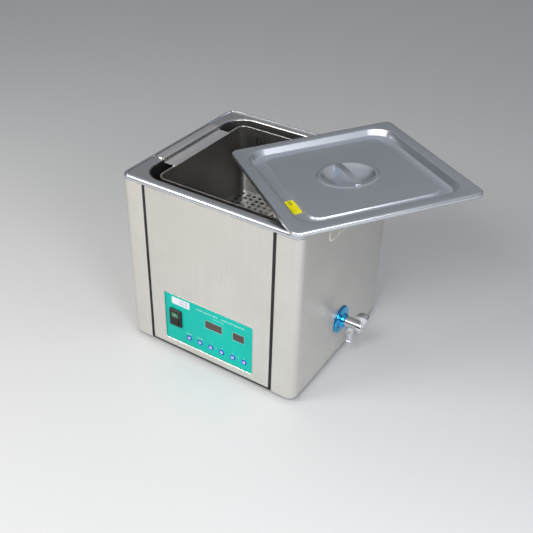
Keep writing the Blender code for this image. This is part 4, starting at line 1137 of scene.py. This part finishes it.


# Green only on the lit upper half; the black rocker below it is painted shade.
face_patch("rocker_lens", 0.0150, 0.0016, 0.0112, 0.0007, rocker_green)
face_patch("rocker_on_mark", 0.0010, 0.0048, 0.0084, 0.00082, white_ink, 4)
ring_rows = [(0.0014, 0), (0.0020, 0), (0.0020, 0.00012), (0.0014, 0.00012)]
off_mark = closed_ring([circle(r, z, 32) for r, z in ring_rows])
slope = Matrix.Rotation(-math.atan(FACE_SLOPE), 4, "X")
off_mark = moved(off_mark, PIVOT @ at(0, -0.0075, face_height(0.0075)) @ slope)
belongs(make("rocker_off_mark", off_mark, white_ink), "rocker", slot="black_plastic")

# %% [markdown]
# ## The drain valve
# A quarter turn ball valve comes out through a blue anodised rose. Its body is a chromed
# turning with a collar, the spout hangs from a hexagon nut, and the lever is a bent casting
# with a fat rounded hook for one finger.

# %% Valve rose and body
VALVE_AT = ("right", HALF_W, VALVE_Y, VALVE_Z)
VALVE_REACH = 0.041
SPOUT_LOW, SPOUT_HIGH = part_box("valve_spout")
SPOUT_X = (SPOUT_LOW.x + SPOUT_HIGH.x) / 2


def valve_rose():
    rows = [(0.0103, GAP), (0.0270, GAP), (0.0277, 0.0008), (0.0280, 0.0016), (0.0278, 0.0024),
            (0.0270, 0.0032), (0.0262, 0.0036), (0.0250, 0.0037), (0.0215, 0.0041), (0.0175, 0.0048),
            (0.0152, 0.0056),
            (0.0141, 0.0072), (0.0133, 0.0094), (0.0126, 0.0109), (0.0118, 0.0115), (0.0103, 0.0115)]
    loops = [circle(r, z, 96) for r, z in rows]
    obj = make("valve_rose", moved(closed_ring(loops), out_of(*VALVE_AT)), blue_enamel)
    return belongs(obj, "root", "valve_escutcheon")


valve_rose()


def joined(obj, other):
    """Adds another object's solid to this one and removes the other."""
    join = obj.modifiers.new("join", "BOOLEAN")
    join.operation, join.object, join.solver = "UNION", other, "EXACT"
    baked(obj)
    bpy.data.objects.remove(other)
    return obj


def valve_body():
    reach = VALVE_REACH - GAP
    rows = [(0.009, -0.0067), (0.010, -0.0057), (0.010, 0.0150), (0.0097, 0.0153), (0.0097, 0.0159),
            (0.010, 0.0162), (0.010, 0.0352), (0.0106, 0.0360), (0.0113, 0.0364), (0.0115, 0.0370),
            (0.0115, reach - 0.0014), (0.0112, reach - 0.0005), (0.0104, reach)]
    barrel = make("valve_barrel", moved(turned(rows, 72), out_of(*VALVE_AT)), chrome)
    boss = turned([(0.0080, -0.014), (0.0085, -0.0135), (0.0085, -0.008), (0.0072, -0.002)], 56)
    boss = make("valve_boss", moved(boss, at(SPOUT_X, VALVE_Y, VALVE_Z)), chrome)
    return belongs(soft_edges(joined(barrel, boss), 0.0003, 3, 50), "root", "valve_body")


valve_body()


def valve_spout():
    """Hexagon nut on top, tube below, open and dark inside."""
    top, bottom = SPOUT_HIGH.z, SPOUT_LOW.z
    nut = [(0.0082, top - 0.0078), (0.0090, top - 0.0072), (0.0090, top - 0.0006), (0.0084, top)]
    nut_obj = make("spout_nut", solid([circle(r, z, 6) for r, z in nut]), chrome)
    nut_obj.data.transform(at(SPOUT_X, VALVE_Y, 0))
    soft_edges(nut_obj, 0.0003, 2)
    rows = [(0.0057, bottom + 0.0004), (0.0061, bottom), (0.0067, bottom), (0.0070, bottom + 0.0004),
            (0.0070, bottom + 0.004), (0.0066, bottom + 0.0044), (0.0066, bottom + 0.0052),
            (0.0070, bottom + 0.0056), (0.0070, top - 0.0078), (0.0057, top - 0.0078)]
    tube = moved(closed_ring([circle(r, z, 64) for r, z in rows]), at(SPOUT_X, VALVE_Y, 0))
    belongs(make("spout_tube", tube, chrome), "root", "valve_spout")
    return belongs(nut_obj, "root", slot="chrome")


valve_spout()


# %% Lever
def smooth_closed(points, rounds):
    """Cuts the corners of a closed outline again and again until it is a curve."""
    for _ in range(rounds):
        cutting = []
        for a, b in zip(points, points[1:] + points[:1]):
            cutting += [(0.75 * a[0] + 0.25 * b[0], 0.75 * a[1] + 0.25 * b[1]),
                        (0.25 * a[0] + 0.75 * b[0], 0.25 * a[1] + 0.75 * b[1])]
        points = cutting
    return points


def valve_lever():
    reach = VALVE_REACH
    corners = [(0.0002, 0.003), (0.0062, 0.003), (0.0120, 0.014), (0.0155, 0.0245), (0.0120, 0.0290),
               (0.0040, 0.0302), (-0.0084, 0.0262), (-0.0084, 0.0217), (0.0005, 0.0190)]
    outline = smooth_closed([(reach + out, up) for out, up in corners], 2)
    arm = across([(z, x) for x, z in outline], 0.0065, 0.0016)
    arm_obj = make("lever_arm", moved(arm, out_of(*VALVE_AT)), chrome)
    hub = [(0.0125, reach), (0.0125, reach + 0.0040), (0.0121, reach + 0.0050), (0.0112, reach + 0.0058),
           (0.0100, reach + 0.0062), (0.0060, reach + 0.0065)]
    hub_obj = make("lever_hub", moved(turned(hub, 64), out_of(*VALVE_AT)), chrome)
    belongs(soft_edges(joined(arm_obj, hub_obj), 0.0004, 3, 50), "valve_lever", "valve_handle")
    head = turned([(0.0042, 0), (0.0042, 0.0007), (0.0038, 0.0010), (0.0024, 0.0012)], 40)
    cap = make("lever_cap_screw", head, chrome)
    cut(cap, prism(0.0052, 0.0008, 0.0002, 0.0007, 0.003, 2))
    cap.data.transform(out_of("right", HALF_W + reach + 0.0064, VALVE_Y, VALVE_Z))
    return belongs(cap, "valve_lever", slot="chrome")


valve_lever()

# %% [markdown]
# ## The back
# The fan pulls air in through a wire guard. A node tree bends the wires: it makes circles of
# growing radius and gives each a round section. The two crossed bars are made after it.

# %% Fan guard
GUARD_HALF, WIRE = 0.0425, 0.0008


def fan_guard():
    holder = points_object("fan_guard_wires", [])
    tree = Tree("wire_guard", Rings=4, First=0.010, Pitch=0.0097, Wire=float(WIRE), Finish=chrome)
    line = tree.node("GeometryNodeMeshLine", Count=tree.given("Rings"), Offset=(0.0, 0.0, 0.0))
    index = tree.node("GeometryNodeInputIndex")
    grown = tree.node("ShaderNodeMath", {"operation": "MULTIPLY_ADD"}, i0=index, i1=tree.given("Pitch"),
                      i2=tree.given("First"))
    hoop = tree.node("GeometryNodeCurvePrimitiveCircle", Resolution=96, Radius=1.0)
    hoops = tree.node("GeometryNodeInstanceOnPoints", Points=line, Instance=hoop, Scale=grown)
    curves = tree.node("GeometryNodeRealizeInstances", Geometry=hoops)
    section = tree.node("GeometryNodeCurvePrimitiveCircle", Resolution=12, Radius=tree.given("Wire"))
    wires = tree.node("GeometryNodeCurveToMesh", Curve=curves, Profile_Curve=section)
    tree.finish(wires, tree.given("Finish"))
    obj = tree.run(holder)
    obj.data.transform(out_of("back", FAN_X, HALF_D + 0.0012, FAN_Z))
    return obj


def straight_wire(turn):
    """A crossed bar with rounded ends that hold the screws."""
    rows = [rounded(2 * GUARD_HALF, 2 * WIRE, 0.0007, z, 4) for z in (0, 0.0009)]
    return moved(solid(rows), Matrix.Rotation(turn, 4, "Z"))


guard = fan_guard()
belongs(guard, "root", "fan_guard", slot="chrome")
bars = merged([straight_wire(turn) for turn in (math.pi / 4, -math.pi / 4)])
bars.transform(out_of("back", FAN_X, HALF_D + GAP, FAN_Z))
belongs(soft_edges(make("fan_guard_bars", bars, chrome), 0.0002), "root", slot="chrome")
ear = 0.0415 / math.sqrt(2)
fan_places = [(sx * ear, sy * ear) for sx in (-1, 1) for sy in (-1, 1)]
fan_head = pan_head("fan_head", 0.0026, 0.0009)
screws("fan_screws", fan_places, fan_head, out_of("back", FAN_X, HALF_D + 0.0012, FAN_Z), 5)


# %% Rotor
def rotor():
    """A hub and seven pitched blades with thin rounded tips."""
    hub = [(0.0150, -0.0205), (0.0170, -0.0195), (0.0170, -0.0070), (0.0160, -0.0060), (0.0040, -0.0056)]
    shapes = [turned(hub, 56)]
    for blade in range(7):
        rows = []
        for radius, sweep in ((0.0165, 0), (0.024, 5), (0.031, 9), (0.0355, 12)):
            loop = []
            for share in range(9):
                twist = math.radians(40 * share / 8 + sweep)
                z = -0.0198 + 0.0138 * share / 8
                loop.append(Vector((radius * math.cos(twist), radius * math.sin(twist), z)))
            rows.append(loop)
        shape = make("blade", facing_out(skin(rows, closed=False)), black_plastic)
        baked(thick(shape, 0.0009))
        held = bmesh.new()
        held.from_mesh(shape.data)
        bpy.data.objects.remove(shape)
        shapes.append(moved(held, Matrix.Rotation(2 * math.pi * blade / 7, 4, "Z")))
    obj = make("fan_rotor_blades", merged(shapes), black_plastic)
    obj.data.transform(out_of("back", FAN_X, HALF_D - SHEET - GAP, FAN_Z))
    return belongs(obj, "fan", "fan_rotor")


rotor()

# %% [markdown]
# The inlet takes a removable mains lead, and the drawer under it holds the fuse. The rating
# plate is a foil sticker with rows of bars on it.


# %% Inlet, fuse drawer and plate
def power_inlet():
    wide, tall = INLET_W + 0.004, INLET_H + 0.004
    rows = [(INLET_W, INLET_H, 0.002, -0.024), (INLET_W, INLET_H, 0.002, GAP), (wide, tall, 0.003, GAP),
            (wide, tall, 0.003, 0.0014), (wide - 0.0006, tall - 0.0006, 0.0028, 0.0021),
            (wide - 0.0020, tall - 0.0020, 0.002, 0.0026)]
    body = make("power_inlet_body", solid([rounded(*row, 6) for row in rows]), black_plastic)
    corner = 0.0035
    well = [(-0.0115, -0.008), (0.0115, -0.008), (0.0115, 0.008 - corner), (0.0115 - corner, 0.008),
            (-0.0115 + corner, 0.008), (-0.0115, 0.008 - corner)]
    tools = [solid([[Vector((x, y + 0.0085, z)) for x, y in well] for z in (-0.016, 0.01)]),
             moved(prism(0.022, 0.011, 0.0006, -0.021, 0.01, 2), at(0, -0.0145, 0))]
    body = soft_edges(cut(body, *tools), 0.0003)
    body.data.transform(out_of("back", INLET_X, HALF_D, INLET_Z))
    belongs(body, "root", "power_inlet")
    pins = [moved(prism(0.002, 0.004, 0.0005, -0.0165, -0.0044, 2), at(x, y, 0))
            for x, y in ((-0.007, 0.0065), (0.007, 0.0065), (0, 0.0105))]
    pins = make("inlet_pins", moved(merged(pins), out_of("back", INLET_X, HALF_D, INLET_Z)), chrome)
    belongs(soft_edges(pins, 0.0003), "root", slot="cast_metal")


def fuse_drawer():
    low, high = -0.0207, 0.0034
    shape = prism(0.0214, 0.0104, 0.0006, low, high, 3)
    obj = make("fuse_drawer_body", shape, black_plastic)
    cut(obj, moved(prism(0.006, 0.0016, 0.0004, 0.0026, 0.006, 2), at(0, 0.0036, 0)))
    obj.data.transform(out_of("back", INLET_X, HALF_D, INLET_Z - 0.0145))
    return belongs(soft_edges(obj, 0.0003), "fuse", "fuse_drawer")


power_inlet()
fuse_drawer()


def rating_plate():
    centre = middle("rating_plate")
    seat = out_of("back", centre.x, HALF_D + GAP, centre.z)
    plate = make("rating_foil", prism(0.070, 0.045, 0.002, 0, 0.0004, 5), foil, seat)
    belongs(plate, "root", "rating_plate")
    bars = []
    for row, end in enumerate((0.008, 0.028, 0.020, 0.024, 0.002)):
        bars += words(-0.030, end, 0.0150 - 0.0072 * row, 0.0030, 70 + row)
    shapes = []
    for bar in bars:
        shapes += letter_shape(*bar, 0.00042, 0.00048)
    shapes += [moved(prism(0.012, 0.010, 0.001, 0.00042, 0.00048, 3), at(0.026, -0.012, 0))]
    ink = make("rating_bars", merged(shapes), label_black, seat)
    return belongs(ink, "root", slot="foil")


rating_plate()

# %% [markdown]
# ## The basket
# The basket is folded and welded from thin sheet. Its walls have banks of upright slots, its
# bottom is a perforated plate, and two bent strips hang it on the tank's flange.

# %% Basket walls
BASKET_LOW, BASKET_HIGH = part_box("basket_walls")
BASKET_W, BASKET_D, BASKET_R, BASKET_SHEET = 0.270, 0.270, 0.018, 0.001


def basket_loop(inset, height):
    return rounded(BASKET_W - 2 * inset, BASKET_D - 2 * inset, max(BASKET_R - inset, 0.004), height, 12)


def basket_walls():
    """A turned-in foot and straight walls; the hem rolled inwards along the top edge is made apart, after
    this.
    """
    bottom, top = BASKET_LOW.z, BASKET_HIGH.z
    rows = filleted([(0.008, bottom), (0, bottom), (0, bottom + 0.02)], (0.0018,), 5)
    rows += [(0, bottom + 0.060), (0, top)]
    walls = make("basket_shell", skin([basket_loop(x, z) for x, z in rows]), basket_steel)
    walls = baked(thick(walls, BASKET_SHEET))
    slots = []
    for group in (-1, 0, 1):
        for index in range(-2, 3):
            x = group * 0.0795 + index * 0.0085
            for y in (-BASKET_D / 2, BASKET_D / 2):
                slot = prism(0.003, 0.023, 0.00145, -0.005, 0.005)
                slots.append(moved(slot, out_of("front", x, y, HEIGHT - 0.027 - 0.0115)))
    cut(walls, *slots)
    return belongs(soft_edges(walls, 0.00018), "basket", "basket_walls")


basket_walls()
hem_rows = [(0.0001, -0.0030), (0.0001, -0.0004), (0.0003, -0.0001), (0.0006, 0), (0.0016, 0),
            (0.0020, -0.0002), (0.0022, -0.0006), (0.0022, -0.0030)]
hem = closed_ring([basket_loop(x, BASKET_HIGH.z + z) for x, z in hem_rows])
# The hem's lighter steel is a painted highlight.
belongs(make("basket_hem", hem, bright_edge), "basket", slot="satin_steel")

# %% [markdown]
# The bottom plate has one round hole in every square cell. The tree below copies a single
# cell over a grid and joins the copies along their edges, and a plain border carries the
# plate out to the round corners. Only then does the plate get its thickness.

# %% Perforated plate
CELL, CELLS, HOLE_R, HOLE_STEPS = 0.01395, 18, 0.0039, 16
TRAY_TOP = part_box("basket_tray")[1].z
TRAY_HALF, TRAY_R = size("basket_tray").x / 2, BASKET_R - BASKET_SHEET - GAP
FIELD_HALF = CELL * CELLS / 2


def cell_edge(angle, half):
    """The point where a ray at this angle leaves the square."""
    x, y = math.cos(angle), math.sin(angle)
    reach = half / max(abs(x), abs(y))
    return Vector((x * reach, y * reach, 0))


def cell():
    angles = [2 * math.pi * (i + 0.5) / HOLE_STEPS - math.pi / HOLE_STEPS for i in range(HOLE_STEPS)]
    hole = [Vector((HOLE_R * math.cos(a), HOLE_R * math.sin(a), 0)) for a in angles]
    return hidden(make("tray_cell", skin([hole, [cell_edge(a, CELL / 2) for a in angles]]), basket_steel))


def to_border(point):
    """Carries a point of the field's edge out to the plate's rounded outline."""
    out = point * (TRAY_HALF / FIELD_HALF)
    core = TRAY_HALF - TRAY_R
    if abs(out.x) > core and abs(out.y) > core:
        corner = Vector((math.copysign(core, out.x), math.copysign(core, out.y), 0))
        out = corner + (out - corner).normalized() * TRAY_R
    return out


def border():
    """The plain margin, with the same points along the field as the cells have."""
    side, half = [], CELL / 2
    shares = [-1, -math.tan(math.pi / 8), 0, math.tan(math.pi / 8)]
    for index in range(CELLS):
        centre = CELL * (index + 0.5) - FIELD_HALF
        side += [Vector((centre + half * share, -FIELD_HALF, 0)) for share in shares]
    inner = []
    for quarter in range(4):
        turn = Matrix.Rotation(math.pi / 2 * quarter, 3, "Z")
        inner += [turn @ point for point in side]
    return make("basket_tray_plate", skin([inner, [to_border(p) for p in inner]]), basket_steel)


def basket_tray():
    plate = border()
    for polygon in plate.data.polygons:
        polygon.flip()
    tree = Tree("perforated_plate", Cell=cell(), Pitch=float(CELL), Count=CELLS, Finish=basket_steel)
    span = tree.node("ShaderNodeMath", {"operation": "MULTIPLY"}, i0=tree.given("Pitch"), i1=float(CELLS - 1))
    grid = tree.node("GeometryNodeMeshGrid", i0=span, i1=span, i2=tree.given("Count"), i3=tree.given("Count"))
    shape = tree.node("GeometryNodeObjectInfo", {"transform_space": "ORIGINAL"}, 4, Object=tree.given("Cell"))
    copies = tree.node("GeometryNodeInstanceOnPoints", Points=grid, Instance=shape)
    real = tree.node("GeometryNodeRealizeInstances", Geometry=copies)
    joined = tree.node("GeometryNodeJoinGeometry", Geometry=[real, tree.given("Geometry")])
    whole = tree.node("GeometryNodeMergeByDistance", Geometry=joined, Distance=0.00002)
    tree.finish(whole, tree.given("Finish"))
    plate = tree.run(plate)
    held = bmesh.new()
    held.from_mesh(plate.data)
    bmesh.ops.recalc_face_normals(held, faces=held.faces)
    if sum(face.normal.z for face in held.faces) < 0:
        bmesh.ops.reverse_faces(held, faces=held.faces)
    held.to_mesh(plate.data)
    held.free()
    baked(thick(plate, BASKET_SHEET))
    plate.data.transform(at(0, 0, TRAY_TOP))
    plate.data.set_sharp_from_angle(angle=math.radians(32))
    return belongs(plate, "basket", "basket_tray")


basket_tray()

# %% [markdown]
# Each hanger is one strip with two bends: it lies on the flange, dips over the tank's edge
# and reaches past the top of the basket wall. Spot welds along the inner leg hold the two
# together, and they show as rows of small shallow dimples.

# %% Hangers and spot welds
HANG_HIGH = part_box("basket_handle_left")[1].z


def hanger(side, name):
    low_box, high_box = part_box(name)
    half, corner, wall = 0.086, 0.008, TANK_W / 2
    outer = max(abs(low_box.x), abs(high_box.x))
    inner = min(abs(low_box.x), abs(high_box.x))
    lower = low_box.z + SHEET
    bends = [(outer, HANG_HIGH), (wall - 0.0012, HANG_HIGH), (wall - 0.0042, lower), (inner, lower)]
    profile = filleted(bends, (0.0022, 0.0018), 6)
    angles = [math.pi / 2 * i / 10 for i in range(1, 11)]
    extra = [(outer - corner + corner * math.cos(a), HANG_HIGH) for a in angles]
    profile = profile[:1] + extra + profile[1:]
    rows = []
    for x, z in profile:
        reach = max(x - (outer - corner), 0)
        y = half - corner + math.sqrt(max(corner**2 - reach**2, 0))
        rows.append([Vector((side * x, -side * y, z)), Vector((side * x, side * y, z))])
    # The strip's lighter steel is a painted highlight.
    obj = baked(thick(make(name + "_strip", skin(rows, closed=False), bright_edge), SHEET))
    belongs(soft_edges(obj, 0.0003), "basket", name)
    return side * (wall - 0.0042 + inner) / 2, lower


def weld_dot(radius):
    rows = [(radius, 0), (0.9 * radius, 0.00007), (0.72 * radius, 0.00008), (0.45 * radius, 0.00003),
            (0.15 * radius, 0.00001)]
    return hidden(make("weld_dot", turned(rows, 24), bright_edge))


dot = weld_dot(0.0023)
for side, name in ((-1, "basket_handle_left"), (1, "basket_handle_right")):
    x, z = hanger(side, name)
    places = [(x, 0.070 * step / 3, z) for step in range(-3, 4)]
    # The welds share the strip's lighter steel, a painted highlight.
    belongs(on_points(name + "_welds", places, dot, bright_edge), "basket", slot="satin_steel")

# %% [markdown]
# ## The lid
# The lid lies askew on the rim, so it is shaped flat in its own frame and then laid in
# place. That frame is read back from the frame mesh: turned level, the lid's middle and its
# top plane give the seat. The sheet is one path of bends from the skirt to the bowl.

# %% The lid's seat
LID_TURN = Matrix.Rotation(math.radians(-6.5), 4, "Y") @ Matrix.Rotation(math.radians(50.3), 4, "Z")


def lid_seat():
    level = [LID_TURN.inverted() @ vertex.co for vertex in nodes["lid_sheet"].data.vertices]
    lows = [min(point[i] for point in level) for i in range(3)]
    highs = [max(point[i] for point in level) for i in range(3)]
    print("lid measures", [round(high - low, 4) for low, high in zip(lows, highs)])
    return LID_TURN @ at((lows[0] + highs[0]) / 2, (lows[1] + highs[1]) / 2, highs[2] - 0.00002)


SEAT = lid_seat()
LID_W, LID_L, LID_SHEET, PLATEAU = 0.3249, 0.3539, 0.0008, -0.009
BOWL_R, BOWL_RING, BOWL_DEEP = 0.0475, 0.054, 0.014


def corner_at(inset):
    """The corner radius changes as the path runs inwards."""
    stops = [(0, 0.014), (0.003, 0.011), (0.021, 0.040), (0.027, 0.034), (0.047, 0.022),
             (0.0485, 0.020), (0.055, 0.016)]
    for (a, low), (b, high) in zip(stops, stops[1:]):
        if inset <= b:
            return low + (high - low) * (inset - a) / (b - a)
    return stops[-1][1]


def even_circle(radius, height, steps):
    """A circle with the same number of points as a rounded outline, a quarter at a time."""
    points = []
    for start in (0, 90, 180, 270):
        for step in range(steps + 1):
            angle = math.radians(start + 90 * (step + 0.5) / (steps + 1))
            points.append(Vector((radius * math.cos(angle), radius * math.sin(angle), height)))
    return points


def lid_sheet():
    steps = 16
    path = [(0, -0.008), (0, -0.0035)] + arc(0.003, -0.003, 0.003, 180, 90, 8)
    inner = [(0.0040, 0), (0.0215, 0), (0.0277, -0.012), (0.0472, -0.012), (0.0487, PLATEAU),
             (0.0520, PLATEAU)]
    path += filleted(inner, (0.0026, 0.0028, 0.0011, 0.0011), 6)
    path += [(0.0540, PLATEAU)]
    loops = [rounded(LID_W - 2 * x, LID_L - 2 * x, corner_at(x), z, steps) for x, z in path]
    sphere = (BOWL_R**2 + BOWL_DEEP**2) / (2 * BOWL_DEEP)
    crest = PLATEAU + 0.0012
    ring = [(0.0600, PLATEAU), (BOWL_RING + 0.0006, PLATEAU), (BOWL_RING - 0.0018, crest),
            (BOWL_R, crest), (BOWL_R - 0.0030, PLATEAU - 0.0011)]
    ring = filleted(ring, (0.0016, 0.0016, 0.0010), 5)
    loops += [even_circle(x, z, steps) for x, z in ring]
    for step in range(1, 12):
        radius = (BOWL_R - 0.0030) * (1 - step / 12)
        depth = BOWL_DEEP - sphere + math.sqrt(sphere**2 - radius**2)
        loops.append(even_circle(radius, PLATEAU - depth, steps))
    obj = make("lid_pressing", skin(loops, end_cap=True), lid_steel)
    obj = baked(thick(obj, LID_SHEET))
    obj.data.transform(SEAT)
    return belongs(obj, "lid", "lid_sheet")


lid_sheet()

# %% [markdown]
# The grip is a flat strip across the bowl, arched a little and rounded along its edges. Its
# ends are flattened onto the bowl's rim and held with two spot welds each.

# %% Strap, welds and sticker
STRAP_HALF, STRAP_W = BOWL_R + 0.0015, 0.012
STRAP_BASE = PLATEAU + 0.0012 + GAP + 0.0015


def strap_height(y):
    share = max(0.0, 1 - (abs(y) / (STRAP_HALF - 0.006))**2)
    return STRAP_BASE + 0.0020 * share**1.2


def strap():
    rows = []
    for step in range(49):
        y = STRAP_HALF * (2 * step / 48 - 1)
        inset = max(abs(y) - (STRAP_HALF - 0.003), 0)
        half = STRAP_W / 2 - 0.003 + math.sqrt(max(0.003**2 - inset**2, 0.000001))
        rows.append([Vector((x * half, y, strap_height(y))) for x in (-1, -0.5, 0, 0.5, 1)])
    obj = make("lid_strap", skin(rows, closed=False), lid_steel)
    if obj.data.polygons[0].normal.z < 0:
        for polygon in obj.data.polygons:
            polygon.flip()
    obj = soft_edges(baked(thick(obj, 0.0015)), 0.00045, 3)
    obj.data.transform(SEAT)
    return belongs(obj, "lid", "lid_handle")


strap()
weld_y = STRAP_HALF - 0.0034
welds = [(x, y, strap_height(y)) for x in (-0.003, 0.003) for y in (-weld_y, weld_y)]
strap_welds = on_points("lid_strap_welds", welds, weld_dot(0.0014), rim_steel)
strap_welds.data.transform(SEAT)
belongs(strap_welds, "lid", slot="polished_steel")


def lid_label():
    """A small sticker in the channel, with rows of bars and two blank boxes."""
    centre = at(-(LID_W / 2 - 0.037), -0.070, -0.012 + GAP)
    paper = make("lid_sticker", prism(0.015, 0.048, 0.001, 0, 0.0003, 5), label_yellow, SEAT @ centre)
    belongs(paper, "lid", "lid_label")
    turn = Matrix.Rotation(math.pi / 2, 4, "Z")
    bars = []
    for row in range(3):
        bars += words(-0.0215, 0.0040 + 0.002 * (row % 2), 0.0045 - 0.0044 * row, 0.0009, 90 + row, 0.9)
    shapes = []
    low, high = 0.00032, 0.00037
    for x0, y0, x1, y1 in bars:
        bar = prism(x1 - x0, y1 - y0, 0.0001, low, high, 1)
        shapes.append(moved(bar, at((x0 + x1) / 2, (y0 + y1) / 2, 0)))
    for x in (0.0105, 0.0180):
        rows = [(0.0058, 0.0070, low), (0.0066, 0.0078, low), (0.0066, 0.0078, high), (0.0058, 0.0070, high)]
        frame_ring = closed_ring([rounded(w, h, 0.0006, z, 3) for w, h, z in rows])
        shapes.append(moved(frame_ring, at(x, 0, 0)))
        shapes.append(moved(prism(0.003, 0.0036, 0.0004, low, high, 2), at(x, 0, 0)))
    ink = make("lid_sticker_bars", moved(merged(shapes), turn), label_black, SEAT @ centre)
    return belongs(ink, "lid", slot="label_yellow")


lid_label()

# %% [markdown]
# ## Floor and surroundings
# The floor is a plain pale disc with a soft sheen. The room is a smooth gradient, brighter
# overhead, which gives the steel its calm fall-off from light to grey.

# %% Floor and room
floor_finish = Finish("floor", (0.72, 0.72, 0.715), 0.55)
floor = make("floor", turned([(9.0, FLOOR_Z - 0.01), (9.0, FLOOR_Z)], 96), floor_finish.material)


def room():
    """Dark below and bright above, so that round metal shows bands. The camera sees plain grey."""
    world = bpy.data.worlds.new("room")
    world.use_nodes = True
    made, links = world.node_tree.nodes, world.node_tree.links
    place = made.new("ShaderNodeTexCoord")
    split = made.new("ShaderNodeSeparateXYZ")
    ramp = made.new("ShaderNodeValToRGB")
    stops = ramp.color_ramp.elements
    stops.new(0.30)
    stops.new(0.62)
    levels = ((0.0, (0.05, 0.055, 0.06)), (0.24, (0.12, 0.13, 0.14)), (0.46, (0.80, 0.83, 0.88)),
              (1.0, (0.92, 0.95, 1.0)))
    for stop, (where, colour) in zip(stops, levels):
        stop.position, stop.color = where, (*colour, 1)
    links.new(place.outputs["Generated"], split.inputs[0])
    links.new(split.outputs[2], ramp.inputs[0])
    seen = made.new("ShaderNodeLightPath")
    pale = made.new("ShaderNodeMix")
    pale.data_type = "RGBA"
    pale.inputs[7].default_value = (0.80, 0.81, 0.83, 1)
    links.new(seen.outputs["Is Camera Ray"], pale.inputs[0])
    links.new(ramp.outputs[0], pale.inputs[6])
    links.new(pale.outputs[2], made["Background"].inputs[0])
    made["Background"].inputs[1].default_value = 0.42
    bpy.context.scene.world = world


room()
